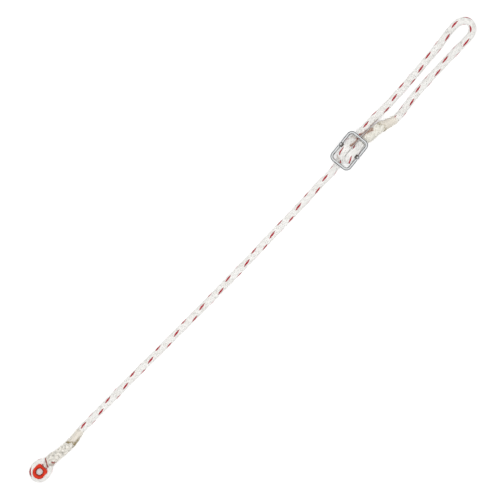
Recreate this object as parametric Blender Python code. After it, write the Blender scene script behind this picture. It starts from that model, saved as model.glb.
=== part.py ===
"""Adjustable safety rope lanyard, lying straight on a surface.

One length of braided rope runs along X. Its near end (-X) is spliced round a moulded plastic thimble. The
rope then weaves through a two-window adjuster, goes out to the loop's bend (+X) and comes back, and its far
end is spliced round the adjuster's middle bar. Metres, +Z up. The origin is under the middle of the lanyard,
on the surface that it lies on.
"""

import math

import bmesh
import bpy
import numpy as np
from mathutils import Matrix, Vector

MM = 0.001

# Fits
GAP = 0.3 * MM                    # between pieces that touch on the real lanyard
LANE_GAP = 3.6 * MM               # between the two rope lanes in the adjuster's windows
SIDE_CLEARANCE = 1.5 * MM         # from a lane to the frame's side rail

# Rope
ROPE_DIAMETER = 12.0 * MM
EYE_ROPE_THINNING = 1.2 * MM      # how much thinner the rope is drawn round the thimble
ADJUSTER_ROPE_THINNING = 1.0 * MM  # and round the adjuster's bars
CORD_STEP = 2.4                   # rope diameters between the points of a free stretch
BEND_STEP = 3.0 * MM              # between the points of a tight bend

# Thimble, in the frame of its round end's centre
THIMBLE_PLACE = Vector((-483.6, 0.2, 0.0)) * MM
HOLE_WIDTH = 9.0 * MM
HOLE_LENGTH = 9.8 * MM
HOLE_FLARE = 3.0 * MM             # how much further out the hole's mouth is than its waist
HOLE_CORNER = 3.9 * MM
THIMBLE_WALL = 1.1 * MM           # between the hole's waist and the groove's floor
THIMBLE_WEB = 4.7 * MM            # between the hole's waist and the groove's end, at the throat
GROOVE_DEPTH = 4.3 * MM
BACK_DEPTH = 5.2 * MM             # the groove's depth at the round end
LEAST_DEPTH = 0.4 * MM            # the groove's, where it runs out at the throat
LIP = 1.8 * MM                    # the flange's thickness at its rim
RIM_ROUND = 0.9 * MM
HORN_REACH = 1.0 * MM             # how far the flange runs past the core at the throat
HORN_CORNER = 4.0 * MM
THROAT_DIP = 0.8 * MM             # hollow of the flange's edge between its two horns
THIMBLE_STEPS = 52                # round the thimble

# Thimble eye: the rope's two legs close in from the groove to the throat
THROAT_X = 22.8 * MM              # from the round end's centre to where the splice starts
THROAT_LEG_DIAMETER = 9.4 * MM
THROAT_LEG_SPREAD = 10.0 * MM     # between the two legs' centre lines at the throat
EYE_STRAIGHT = 5.8 * MM           # from the round end's centre to where the legs start to close in
EYE_FULLNESS = 0.8                # below 1 keeps the legs apart for longer
EYE_THIN_RATE = 1.6               # how fast the legs reach their full thickness, away from the throat

# Adjuster, in a frame turned by its yaw, with its middle bar through the origin
ADJUSTER_PLACE = Vector((216.5, 0.3, 0.0)) * MM
ADJUSTER_YAW = math.radians(5.2)
ADJUSTER_PITCH = math.radians(3.7)  # the loop-side end bar rides up on the splice
BAR_DIAMETER = 5.8 * MM
WINDOW_LENGTH = 20.7 * MM
FRAME_CORNER = 7.0 * MM           # radius of the frame's corners, on the bar's centre line
LUG_DIAMETER = 10.4 * MM
LUG_INWARD = 1.0 * MM             # the lug's reach past the rail, into the window
LUG_OUTWARD = 0.3 * MM
LUG_CHAMFER = 1.5 * MM
LUG_SIDES = 20
BAR_SIDES = 16
PIN_CHAMFER = 0.5 * MM
EYE_LEG_CLEARANCE = 0.3 * MM      # between the spliced eye's two legs, where they run into the splice
WEAVE_LEAD = 7.0 * MM             # straight rope past each end bar
WEAVE_IN = 0.0 * MM               # where the main rope comes in, across the frame
WEAVE_SHIFT = (-30.0 * MM, -6.0 * MM)  # along the frame, where it moves over into its lane
WEAVE_OUT = 5.9 * MM              # where it leaves
WEAVE_TURNS = ((0, (0.4 * MM, 0.3 * MM)), (-1, (-0.9 * MM, -1.0 * MM)))  # its two ends, across and up

# Splices: (distance, sideways place, half width) with the half widths in rope diameters
SPLICE_FLATNESS = 0.9             # height over width
TUCK_PITCH = 11.6 * MM            # from one tuck to the next in its row
TUCK_ROWS = 4
TUCK_HEIGHT = 0.8 * MM
TUCK_FADE = 4.0 * MM              # over which the tucks die away
THIMBLE_SPLICE = (
    (0.0, 0.0, 0.75), (4.0, 0.0, 0.76), (10.0, -0.6, 0.75), (19.5, -2.5, 0.69), (30.5, -3.8, 0.68),
    (37.0, -4.4, 0.64), (43.0, -4.5, 0.59), (52.0, -3.9, 0.58), (63.0, -2.5, 0.52), (72.0, -1.4, 0.49),
)
ADJUSTER_SPLICE = (
    (6.8, -7.3, 0.48), (12.0, -7.3, 0.49), (17.0, -7.3, 0.50), (23.0, -7.6, 0.54), (29.5, -8.7, 0.64),
    (36.5, -10.3, 0.71), (45.5, -11.7, 0.73), (54.4, -13.3, 0.73), (62.3, -16.0, 0.69), (68.3, -18.9, 0.61),
    (76.1, -22.4, 0.54), (82.0, -24.7, 0.51), (85.6, -25.6, 0.50), (88.6, -25.9, 0.49),
)
BAR_SPLICE_HEIGHT = 1.25          # rope diameters, where the adjuster's splice passes under the end bar
ROOM_SPREAD = 1.2 * MM            # how much wider than the splice the eye's legs are cut off
BAR_SPLICE_RUN = 8.0 * MM         # over which the splice settles to its own height behind the end bar
SLEEVE_WALL = 0.5 * MM
THIMBLE_SLEEVE_FROM = 41.0 * MM   # along the thimble splice
ADJUSTER_SLEEVE_FROM = 60.0 * MM  # along the adjuster splice
TUCKED_STEP = TUCK_PITCH / 6      # between a splice's sections
SLEEVE_STEP = 3.4 * MM
SPLICE_SIDES = 20

# Free rope: routes chosen by hand, at the rope's centre line, in the lanyard's own frame
MAIN_ROUTE = (
    (-377.0, -1.2), (-352.0, -1.3), (-316.0, -1.7), (-280.0, -1.9), (-244.0, -2.5), (-208.0, -3.3),
    (-172.0, -3.8), (-136.0, -4.5), (-100.0, -5.0), (-64.0, -5.1), (-28.0, -5.3), (8.0, -5.1), (44.0, -4.6),
    (80.0, -4.6), (116.0, -4.2), (150.0, -3.2),
)
LOOP_ROUTE = (
    (278.0, 8.1), (293.0, 7.2), (309.0, 6.7), (325.0, 7.2), (341.0, 7.9), (357.0, 8.5), (373.0, 9.2),
    (388.0, 10.3), (404.0, 11.6), (418.0, 12.5), (434.0, 13.8), (450.0, 15.9), (466.0, 17.7), (479.5, 17.4),
    (489.5, 12.4), (493.6, 3.6), (490.2, -5.4), (481.0, -10.6), (468.0, -11.6), (453.0, -11.3),
    (438.0, -11.2), (422.0, -11.3), (406.0, -11.8), (391.0, -11.9), (375.0, -12.2), (359.0, -12.9),
    (343.0, -14.4), (329.0, -16.0),
)
LOOP_BEND_REACH = 37.6 * MM       # the loop's bend is this last part of its route's reach along X
EASE_OUT = 7.0 * MM               # straight rope out of a splice's thin end
WEAVE_EASE = 15.0 * MM            # over which the rope settles on to the surface outside the adjuster
SQUARE_RUN = 3.0 * MM             # straight rope at the end of each free stretch
THIN_RUN = 30.0 * MM              # over which the free rope thins towards the adjuster

# Figures worked out from the sizes above
ROPE_R = ROPE_DIAMETER / 2
EYE_R = (ROPE_DIAMETER - EYE_ROPE_THINNING) / 2
ADJ_R = (ROPE_DIAMETER - ADJUSTER_ROPE_THINNING) / 2
BAR_R = BAR_DIAMETER / 2
CORE_HALF_WIDTH = HOLE_WIDTH / 2 + THIMBLE_WALL
GROOVE_R = EYE_R + GAP
EYE_BEND_R = CORE_HALF_WIDTH + GAP + EYE_R
RIM_HALF_GAP = math.sqrt(GROOVE_R**2 - (GROOVE_R - GROOVE_DEPTH) ** 2)
THIMBLE_HALF_HEIGHT = RIM_HALF_GAP + LIP
LANE = ADJ_R + LANE_GAP / 2
RAIL = LANE + ADJ_R + SIDE_CLEARANCE + BAR_R
BAR_SPACING = WINDOW_LENGTH + BAR_DIAMETER
WRAP_R = BAR_R + GAP + ADJ_R
PIVOT_Z = BAR_SPLICE_HEIGHT * ROPE_DIAMETER + GAP + BAR_R - BAR_SPACING * math.sin(ADJUSTER_PITCH)
WRAP_SLOPE = math.asin(2 * WRAP_R / BAR_SPACING)  # of the rope between two bars
EYE_LEG_ROOM = (WRAP_R - ADJ_R) * (1 + math.cos(WRAP_SLOPE)) - EYE_LEG_CLEARANCE
EYE_LEG_RUN = EYE_LEG_ROOM / math.sin(WRAP_SLOPE)  # how far the upper leg runs down towards the splice
LOOP_BEND_FROM = max(x for x, _ in LOOP_ROUTE) * MM - LOOP_BEND_REACH


def clear_scene():
    """Removes the objects that a new file starts with."""
    for obj in list(bpy.data.objects):
        bpy.data.objects.remove(obj, do_unlink=True)


def material(name, colour, roughness, metallic=0.0, alpha=1.0):
    """A plain Principled material; colour is linear."""
    made = bpy.data.materials.new(name)
    made.use_nodes = True
    shader = made.node_tree.nodes["Principled BSDF"]
    shader.inputs["Base Color"].default_value = (*colour, 1.0)
    shader.inputs["Roughness"].default_value = roughness
    shader.inputs["Metallic"].default_value = metallic
    shader.inputs["Alpha"].default_value = alpha
    made.diffuse_color = (*colour, alpha)
    return made


def finish_mesh(name, bm, finish, sharp_degrees=50.0):
    """Turns a bmesh into a named, smooth-shaded object with one material."""
    bmesh.ops.recalc_face_normals(bm, faces=bm.faces)
    mesh = bpy.data.meshes.new(name)
    bm.to_mesh(mesh)
    bm.free()
    mesh.shade_smooth()
    mesh.set_sharp_from_angle(angle=math.radians(sharp_degrees))
    mesh.materials.append(finish)
    obj = bpy.data.objects.new(name, mesh)
    bpy.context.scene.collection.objects.link(obj)
    return obj


def loft(name, rings, finish, ends_meet=False):
    """A skin over rings of equally many points, point to point, as neighbouring rings shift sideways. It is
    capped at both ends unless the last ring meets the first."""
    bm = bmesh.new()
    loops = [[bm.verts.new(point) for point in ring] for ring in rings]
    pairs = list(zip(loops, loops[1:]))
    if ends_meet:
        pairs.append((loops[-1], loops[0]))
    else:
        bm.faces.new(loops[0])
        bm.faces.new(loops[-1])
    for first, second in pairs:
        for i in range(len(first)):
            bm.faces.new((first[i - 1], first[i], second[i], second[i - 1]))
    return finish_mesh(name, bm, finish)


def smooth_line(points, step):
    """Points about a step apart on a smooth curve through the given ones."""
    given = np.array([tuple(point) for point in points], float)
    padded = np.vstack([2 * given[0] - given[1], given, 2 * given[-1] - given[-2]])
    dense = [given[0]]
    for i in range(1, len(padded) - 2):
        before, start, end, after = padded[i - 1:i + 3]
        for t in np.linspace(0, 1, 25)[1:]:
            dense.append(0.5 * (
                2 * start + (end - before) * t + (2 * before - 5 * start + 4 * end - after) * t**2
                + (3 * start - before - 3 * end + after) * t**3
            ))
    dense = np.array(dense)
    along = np.concatenate([[0], np.cumsum(np.linalg.norm(np.diff(dense, axis=0), axis=1))])
    count = max(2, round(along[-1] / step))
    wanted = np.linspace(0, along[-1], count + 1)
    return [Vector([np.interp(s, along, dense[:, k]) for k in range(3)]) for s in wanted]


def shortened(points, start=0.0, end=0.0):
    """The line with this much cut off its two ends, for the gap to what it meets."""
    points = [point.copy() for point in points]
    points[0] += (points[1] - points[0]).normalized() * start
    points[-1] += (points[-2] - points[-1]).normalized() * end
    return points


def rope(name, points, radii, finish, rounds=4):
    """A round rope solid along a line: a curve with a round bevel and filled caps."""
    curve = bpy.data.curves.new(name, "CURVE")
    curve.dimensions = "3D"
    curve.bevel_depth = ROPE_R
    curve.bevel_resolution = rounds
    curve.use_fill_caps = True
    spline = curve.splines.new("POLY")
    spline.points.add(len(points) - 1)
    for slot, point, radius in zip(spline.points, points, radii):
        slot.co = (*point, 1.0)
        slot.radius = radius / ROPE_R
    curve.materials.append(finish)
    obj = bpy.data.objects.new(name, curve)
    bpy.context.scene.collection.objects.link(obj)
    return obj


def as_mesh(obj):
    """The object's evaluated shape as a mesh object of the same name."""
    name = obj.name
    graph = bpy.context.evaluated_depsgraph_get()
    mesh = bpy.data.meshes.new_from_object(obj.evaluated_get(graph))
    bpy.data.objects.remove(obj, do_unlink=True)
    bm = bmesh.new()
    bm.from_mesh(mesh)
    bmesh.ops.remove_doubles(bm, verts=bm.verts, dist=0.01 * MM)
    bm.to_mesh(mesh)
    bm.free()
    mesh.name = name
    made = bpy.data.objects.new(name, mesh)
    bpy.context.scene.collection.objects.link(made)
    return made


def combine(obj, other, operation):
    """Joins another mesh to this one, or cuts it out of it; the other is only a guide afterwards."""
    modifier = obj.modifiers.new(operation.title(), "BOOLEAN")
    modifier.operation = operation
    modifier.solver = "EXACT"
    modifier.object = other
    other.hide_render = True
    other.display_type = "WIRE"


def u_outline(half_width, back, front, corner, dip=0.0, steps=40):
    """Half of a thimble outline as (turn, reach) pairs about the round end's centre, from the throat to the
    round end: a hollow front edge, a rounded corner, a straight side and half an oval."""
    points = []
    for i in range(steps):
        y = (half_width - corner) * i / steps
        points.append((front - dip * (1 - (y / (half_width - corner)) ** 2), y))
    for i in range(steps):
        turn = 0.5 * math.pi * i / steps
        reach = front - corner + corner * math.cos(turn)
        points.append((reach, half_width - corner + corner * math.sin(turn)))
    for i in range(steps):
        points.append(((front - corner) * (1 - i / steps), half_width))
    for i in range(steps + 1):
        turn = 0.5 * math.pi + 0.5 * math.pi * i / steps
        points.append((back * math.cos(turn), half_width * math.sin(turn)))
    turns = [math.atan2(y, x) for x, y in points]
    return turns, [math.hypot(x, y) for x, y in points]


def reach_of(outline, turn):
    """How far the outline is from the round end's centre, in the direction turn."""
    folded = abs((turn + math.pi) % (2 * math.pi) - math.pi)
    return float(np.interp(folded, *outline))


def thimble_section(waist, floor, rim):
    """The thimble's closed section in one direction, for its three reaches, as (reach, height): from the
    hole's waist over the top flange, through the groove and back under the lower flange."""
    top = THIMBLE_HALF_HEIGHT
    mouth = min(HOLE_FLARE, 0.6 * (rim - waist))
    depth = max(rim - floor, LEAST_DEPTH)
    upper = []
    for i in range(5):
        bend = 0.5 * math.pi * i / 4
        upper.append((waist + mouth * (1 - math.cos(bend)), top * math.sin(bend)))
    for i in range(4):
        bend = 0.5 * math.pi * (1 - i / 3)
        upper.append((rim - RIM_ROUND * (1 - math.cos(bend)), top - RIM_ROUND * (1 - math.sin(bend))))
    for i in range(6):
        into = depth * (1 - i / 5) ** 1.6
        upper.append((rim - depth + into, math.sqrt(max(GROOVE_R**2 - (GROOVE_R - into) ** 2, 0.0))))
    lower = [(reach, -height) for reach, height in upper[-2:0:-1]]
    return upper + lower


def make_thimble(finish):
    """Moulded plastic thimble: a hole with a flared, rounded wall, a rope groove round it, and two flanges
    whose horns run out at the throat."""
    hole_front = HOLE_LENGTH - HOLE_WIDTH / 2
    core_front = hole_front + THIMBLE_WEB
    flange_back = CORE_HALF_WIDTH + BACK_DEPTH
    flange_front = core_front + HORN_REACH
    hole = u_outline(HOLE_WIDTH / 2, HOLE_WIDTH / 2, hole_front, HOLE_CORNER)
    core = u_outline(CORE_HALF_WIDTH, CORE_HALF_WIDTH, core_front, HOLE_CORNER)
    flange = u_outline(CORE_HALF_WIDTH + GROOVE_DEPTH, flange_back, flange_front, HORN_CORNER, THROAT_DIP)
    centre = THIMBLE_PLACE + Vector((0, 0, THIMBLE_HALF_HEIGHT))
    rings = []
    for i in range(THIMBLE_STEPS):
        turn = 2 * math.pi * i / THIMBLE_STEPS
        outward = Vector((math.cos(turn), math.sin(turn), 0))
        section = thimble_section(reach_of(hole, turn), reach_of(core, turn), reach_of(flange, turn))
        rings.append([centre + outward * reach + Vector((0, 0, height)) for reach, height in section])
    return loft("thimble", rings, finish, ends_meet=True)


def thimble_eye_line():
    """The rope's centre line round the thimble, from one leg's end to the other, with its radii."""
    half = []
    leg_y = THROAT_LEG_SPREAD / 2
    leg_r = THROAT_LEG_DIAMETER / 2
    throat = THROAT_X - GAP
    for i in range(9):
        t = i / 8
        ease = smooth_step(max(0.0, (i - 1) / 7) ** EYE_FULLNESS)
        radius = leg_r + (EYE_R - leg_r) * min(1.0, EYE_THIN_RATE * t)
        half.append((throat + (EYE_STRAIGHT - throat) * t, leg_y + (EYE_BEND_R - leg_y) * ease, radius))
    for i in range(9):
        turn = 0.5 * math.pi * (1 + i / 8)
        half.append((EYE_BEND_R * math.cos(turn), EYE_BEND_R * math.sin(turn), EYE_R))
    whole = half + [(x, -y, radius) for x, y, radius in half[-2::-1]]
    points = [THIMBLE_PLACE + Vector((x, y, THIMBLE_HALF_HEIGHT)) for x, y, _ in whole]
    return points, [radius for _, _, radius in whole]


def smooth_step(t):
    """0 to 1 with a level start and end."""
    t = min(1.0, max(0.0, t))
    return t * t * (3 - 2 * t)


def lying_rows(stations, sleeve_from):
    """Sections of a splice that lies on the surface, as (distance, sideways, half width, half height, centre
    height). Its height follows from its width, and the sleeve's wall lifts the part inside it."""
    rows = []
    for point in smooth_line([(x * MM, y * MM, width * ROPE_DIAMETER) for x, y, width in stations], 3 * MM):
        half_height = ROPE_R + (point.z - ROPE_R) * SPLICE_FLATNESS
        inside = smooth_step((point.x - sleeve_from + 2 * TUCK_FADE) / TUCK_FADE)
        lift = TUCK_HEIGHT + (SLEEVE_WALL + GAP - TUCK_HEIGHT) * inside
        rows.append((point.x, point.y, point.z, half_height, half_height + lift))
    return rows


def adjuster_rows():
    """The adjuster's splice: tall where the eye's upper leg comes down to the lower one behind the middle
    bar, and low enough to pass under the end bar."""
    start = ADJUSTER_SPLICE[0][0] * MM
    under_bar = BAR_SPACING - BAR_R - GAP
    past_bar = BAR_SPACING + BAR_R
    bar_top = BAR_SPLICE_HEIGHT * ROPE_DIAMETER
    leg_top = PIVOT_Z + WRAP_R / math.cos(WRAP_SLOPE) + ADJ_R / math.cos(WRAP_SLOPE)
    start_top = leg_top - start * math.tan(WRAP_SLOPE)
    start_low = PIVOT_Z - WRAP_R - ADJ_R
    rows = []
    for x, y, width, half_height, centre in lying_rows(ADJUSTER_SPLICE, ADJUSTER_SLEEVE_FROM):
        if x < under_bar:
            t = (x - start) / (under_bar - start)
            top = start_top + (bar_top - start_top) * t
            bottom = start_low + (GAP - start_low) * t
            half_height, centre = (top - bottom) / 2, (top + bottom) / 2
        else:
            t = smooth_step((x - past_bar) / BAR_SPLICE_RUN)
            bar_half = (bar_top - GAP) / 2
            half_height = bar_half + (half_height - bar_half) * t
            centre = GAP + bar_half + (centre - GAP - bar_half) * t
        rows.append((x, y, width, half_height, centre))
    return rows


def splice_rings(rows, start, end, spread=0.0, tucks=None):
    """Oval rings of a splice between two distances along it, each grown by spread. Between the two distances
    of tucks, lumps of tucked strands stand proud."""
    table = np.array(rows, float)
    slopes = np.gradient(table[:, 1], table[:, 0])
    count = max(2, round((end - start) / (TUCKED_STEP if tucks else SLEEVE_STEP)))
    rings = []
    for x in np.linspace(start, end, count + 1):
        y, width, height, z = [np.interp(x, table[:, 0], table[:, k]) for k in range(1, 5)]
        lean = math.atan(np.interp(x, table[:, 0], slopes))
        proud = 0.0
        if tucks:
            fade = smooth_step(min(x - tucks[0], tucks[1] - x) / TUCK_FADE)
            proud = TUCK_HEIGHT * fade * math.cos(2 * math.pi * x / TUCK_PITCH)
        ring = []
        for i in range(SPLICE_SIDES):
            turn = 2 * math.pi * i / SPLICE_SIDES
            swell = spread + proud * math.cos(TUCK_ROWS * turn)
            across = (width + swell) * math.cos(turn)
            up = (height + swell) * math.sin(turn)
            ring.append((x - across * math.sin(lean), y + across * math.cos(lean), z + up))
        rings.append(ring)
    return rings


def placed(points, place, yaw=0.0):
    """Points of a piece's own frame, in the lanyard's frame."""
    turn = Matrix.Rotation(yaw, 3, "Z")
    return [turn @ Vector(point) + place for point in points]


def on_pivot(points, pitch=ADJUSTER_PITCH):
    """Points given from the middle bar's centre, in the lanyard's frame, tilted about that bar."""
    tilt = Matrix.Rotation(-pitch, 3, "Y")
    place = ADJUSTER_PLACE + Vector((0, 0, PIVOT_Z))
    return placed([tilt @ Vector(point) for point in points], place, ADJUSTER_YAW)


def make_splice(name, rows, place, yaw, tucks, finish):
    """A tucked splice: lumpy where its strands are tucked, and smooth where the sleeve covers its tail."""
    rings = splice_rings(rows, rows[0][0], tucks[1], 0.0, tucks)
    rings += splice_rings(rows, tucks[1], rows[-1][0])[1:]
    return loft(name, [placed(ring, place, yaw) for ring in rings], finish)


def make_sleeve(name, rows, place, yaw, start, finish):
    """A thin shrink sleeve over a splice's tail, open at both ends."""
    end = rows[-1][0] - GAP
    rings = splice_rings(rows, start, end, GAP + SLEEVE_WALL) + splice_rings(rows, start, end, GAP)[::-1]
    return loft(name, [placed(ring, place, yaw) for ring in rings], finish, ends_meet=True)


def tail_end(rows, place, yaw):
    """The centre of a splice's thin end, where the free rope meets it, and the direction it leaves in."""
    ends = [(row[0], row[1], row[4]) for row in (rows[-1], rows[-2])]
    end, back = placed(ends, place, yaw)
    return end, (end - back).normalized()


def weave_line():
    """The running rope's centre line through the adjuster: under the near end bar, over the middle bar and
    under the far end bar."""
    half = [(-BAR_SPACING - WEAVE_LEAD, -WRAP_R)]
    for i in range(5):
        turn = WRAP_SLOPE * i / 4
        half.append((-BAR_SPACING + WRAP_R * math.sin(turn), -WRAP_R * math.cos(turn)))
    for i in range(5):
        turn = WRAP_SLOPE * (1 - i / 4)
        half.append((-WRAP_R * math.sin(turn), WRAP_R * math.cos(turn)))
    points = []
    for u, w in half + [(-u, w) for u, w in half[-2::-1]]:
        across = smooth_step((u - WEAVE_SHIFT[0]) / (WEAVE_SHIFT[1] - WEAVE_SHIFT[0]))
        v = WEAVE_IN + (LANE - WEAVE_IN) * across
        v += (WEAVE_OUT - LANE) * smooth_step(u / BAR_SPACING)
        points.append((u, v, w))
    for end, (across, up) in WEAVE_TURNS:
        points[end] = (points[end][0], points[end][1] + across, points[end][2] + up)
    return on_pivot(points)


def adjuster_eye_line():
    """The spliced end's centre line round the middle bar: from inside the splice up over the bar, and back
    under it into the splice."""
    side = WRAP_R * math.sin(WRAP_SLOPE) + EYE_LEG_RUN * math.cos(WRAP_SLOPE)
    height = WRAP_R * math.cos(WRAP_SLOPE) - EYE_LEG_RUN * math.sin(WRAP_SLOPE)
    points = [(side, -LANE, height)]
    for i in range(17):
        turn = WRAP_SLOPE - (WRAP_SLOPE + math.pi) * i / 16
        points.append((WRAP_R * math.sin(turn), -LANE, WRAP_R * math.cos(turn)))
    points.append((side, -LANE, -WRAP_R))
    return on_pivot(points, 0.0)


def make_adjuster_eye(rows, finish):
    """The rope's eye round the middle bar, cut off where its two legs run into the splice."""
    line = adjuster_eye_line()
    eye = as_mesh(rope("adjuster_eye_rope", line, [ADJ_R] * len(line), finish))
    rings = splice_rings(rows, rows[0][0] - GAP, 1.5 * BAR_SPACING, ROOM_SPREAD)
    room = loft("splice_room", [placed(ring, ADJUSTER_PLACE, ADJUSTER_YAW) for ring in rings], finish)
    combine(eye, room, "DIFFERENCE")
    return eye


def make_frame(finish):
    """The adjuster's frame: a rounded rectangle of round bar, with a lug on each side rail, drilled for the
    middle bar."""
    ring = []
    corner_u = BAR_SPACING - FRAME_CORNER
    corner_v = RAIL - FRAME_CORNER
    for quarter, (side_u, side_v) in enumerate(((1, 1), (-1, 1), (-1, -1), (1, -1))):
        for i in range(7):
            turn = 0.5 * math.pi * (quarter + i / 6)
            u = side_u * corner_u + FRAME_CORNER * math.cos(turn)
            ring.append((u, side_v * corner_v + FRAME_CORNER * math.sin(turn), 0))
    bars = rope("adjuster_frame", on_pivot(ring), [BAR_R] * len(ring), finish)
    bars.data.splines[0].use_cyclic_u = True
    frame = as_mesh(bars)
    inner = RAIL - BAR_R - LUG_INWARD
    outer = RAIL + BAR_R + LUG_OUTWARD
    for side in (-1, 1):
        ends = sorted((side * inner, side * outer))
        lug = cross_cylinder("lug_form", LUG_DIAMETER / 2, ends, LUG_SIDES, finish, LUG_CHAMFER)
        combine(frame, lug, "UNION")
    past = (-RAIL - BAR_DIAMETER, RAIL + BAR_DIAMETER)
    combine(frame, cross_cylinder("bore_form", BAR_R + GAP, past, LUG_SIDES, finish), "DIFFERENCE")
    return frame


def cross_cylinder(name, radius, ends, sides, finish, chamfer=0.0):
    """A cylinder along the adjuster's middle bar, between two places across the frame."""
    profile = [(ends[0], radius), (ends[1], radius)]
    if chamfer:
        profile = [(ends[0], radius - chamfer), (ends[0] + chamfer, radius),
                   (ends[1] - chamfer, radius), (ends[1], radius - chamfer)]
    rings = []
    for v, reach in profile:
        turns = [2 * math.pi * (i + 0.5) / sides for i in range(sides)]
        rings.append(on_pivot([(reach * math.cos(turn), v, reach * math.sin(turn)) for turn in turns]))
    return loft(name, rings, finish)


def make_free_ropes(finish, main_start, loop_end):
    """The free stretches: the main rope from the thimble splice to the adjuster, and the loop's two legs and
    bend. Returns the legs, and the bend."""
    weave = weave_line()
    start, leaving = main_start
    main = [start, start + leaving * EASE_OUT] + on_surface(MAIN_ROUTE) + leading(weave[0], weave[1])[::-1]
    line = smooth_line(main, CORD_STEP * ROPE_DIAMETER)
    line = shortened(squared(line, leaving, weave[0] - weave[1]), GAP, GAP)
    rope("main_rope", resting(line), thinned(line, end=ROPE_R - ADJ_R), finish)
    end, ending = loop_end
    loop = leading(weave[-1], weave[-2]) + on_surface(LOOP_ROUTE) + [end + ending * EASE_OUT, end]
    fine = smooth_line(loop, BEND_STEP)
    inside = [i for i, point in enumerate(fine) if point.x > LOOP_BEND_FROM]
    running = smooth_line(fine[:inside[0] + 1], CORD_STEP * ROPE_DIAMETER)
    into_leg = fine[inside[0] - 1] - fine[inside[0]]
    running = shortened(squared(running, weave[-1] - weave[-2], into_leg), GAP, GAP / 2)
    running_leg = rope("loop_running_leg", resting(running), thinned(running, start=ROPE_R - ADJ_R), finish)
    bend = shortened(fine[inside[0]:inside[-1] + 1], GAP / 2, GAP / 2)
    turned = rope("loop_bend", resting(bend), [ROPE_R] * len(bend), finish)
    spliced = smooth_line(fine[inside[-1]:], CORD_STEP * ROPE_DIAMETER)
    into_leg = fine[inside[-1] + 1] - fine[inside[-1]]
    spliced = shortened(squared(spliced, into_leg, ending), GAP / 2, GAP)
    spliced_leg = rope("loop_spliced_leg", resting(spliced), [ROPE_R] * len(spliced), finish)
    return [running_leg, spliced_leg], turned


def resting(line):
    """The line lifted wherever the smooth curve dips below the height of a rope that lies on the surface."""
    return [Vector((point.x, point.y, max(point.z, ROPE_R))) for point in line]


def squared(line, start_way, end_way):
    """The line with a short straight at each end, so that its end faces are square to what they meet. Each
    way points from the end into the line."""
    start = line[0] + start_way.normalized() * SQUARE_RUN
    end = line[-1] + end_way.normalized() * SQUARE_RUN
    return [line[0], start] + line[1:-1] + [end, line[-1]]


def on_surface(route):
    """A hand-chosen route in millimetres as centre-line points of a rope that lies on the surface."""
    return [Vector((x * MM, y * MM, ROPE_R)) for x, y in route]


def leading(end, inner):
    """Points that lead from the weave's end on to the surface: the end itself, and one further out."""
    out = end + (end - inner).normalized() * WEAVE_EASE
    out.z += (ROPE_R - end.z) * 0.5
    return [end, out]


def thinned(line, start=0.0, end=0.0):
    """Rope radii along a line that thins by this much towards the adjuster, at its start or its end."""
    radii = []
    for point in line:
        near_start = max(0.0, 1 - (point - line[0]).length / THIN_RUN)
        near_end = max(0.0, 1 - (point - line[-1]).length / THIN_RUN)
        radii.append(ROPE_R - start * near_start - end * near_end)
    return radii


def carried_by(name, place, pieces):
    """Gives the pieces that slide together an empty on their slide's line as a parent."""
    carrier = bpy.data.objects.new(name, None)
    carrier.location = place
    bpy.context.scene.collection.objects.link(carrier)
    bpy.context.view_layer.update()
    for piece in pieces:
        piece.parent = carrier
        piece.matrix_parent_inverse = carrier.matrix_world.inverted()


def make_standing_part(rope_finish, plastic, film):
    """The thimble, the rope's eye round it, and the eye's splice and sleeve. Returns the rope's way out."""
    make_thimble(plastic)
    line, radii = thimble_eye_line()
    rope("thimble_eye_rope", line, radii, rope_finish)
    throat = THIMBLE_PLACE + Vector((THROAT_X, 0, 0))
    rows = lying_rows(THIMBLE_SPLICE, THIMBLE_SLEEVE_FROM)
    tucks = (-TUCK_FADE, THIMBLE_SLEEVE_FROM)
    make_splice("thimble_splice", rows, throat, 0.0, tucks, rope_finish)
    make_sleeve("thimble_splice_sleeve", rows, throat, 0.0, THIMBLE_SLEEVE_FROM, film)
    return tail_end(rows, throat, 0.0)


def make_adjuster(rope_finish, steel, film):
    """The adjuster with the rope in it, and the splice behind it. Returns its pieces, and the rope's way out
    of the splice."""
    half_bar = RAIL + BAR_R + LUG_OUTWARD
    weave = weave_line()
    rows = adjuster_rows()
    tucks = (BAR_SPACING + BAR_R + GAP, ADJUSTER_SLEEVE_FROM)
    place = (ADJUSTER_PLACE, ADJUSTER_YAW)
    pieces = [
        make_frame(steel),
        cross_cylinder("adjuster_middle_bar", BAR_R, (-half_bar, half_bar), BAR_SIDES, steel, PIN_CHAMFER),
        rope("rope_over_middle_bar", weave, [ADJ_R] * len(weave), rope_finish),
        make_adjuster_eye(rows, rope_finish),
        make_splice("adjuster_splice", rows, *place, tucks, rope_finish),
        make_sleeve("adjuster_splice_sleeve", rows, *place, ADJUSTER_SLEEVE_FROM, film),
    ]
    return pieces, tail_end(rows, *place)


def main():
    clear_scene()
    rope_finish = material("white braided polyamide rope", (0.80, 0.79, 0.77), 0.8)
    plastic = material("red moulded plastic", (0.66, 0.035, 0.012), 0.35)
    steel = material("polished steel", (0.62, 0.63, 0.64), 0.18, 1.0)
    film = material("clear shrink sleeve", (0.76, 0.68, 0.55), 0.3, 0.0, 0.6)
    main_start = make_standing_part(rope_finish, plastic, film)
    adjuster, loop_end = make_adjuster(rope_finish, steel, film)
    legs, bend = make_free_ropes(rope_finish, main_start, loop_end)
    carried_by("adjuster_carrier", ADJUSTER_PLACE + Vector((0, 0, PIVOT_Z)), adjuster + legs)
    carried_by("loop_end_carrier", Vector((LOOP_BEND_FROM, 0, ROPE_R)), [bend])


main()
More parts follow.
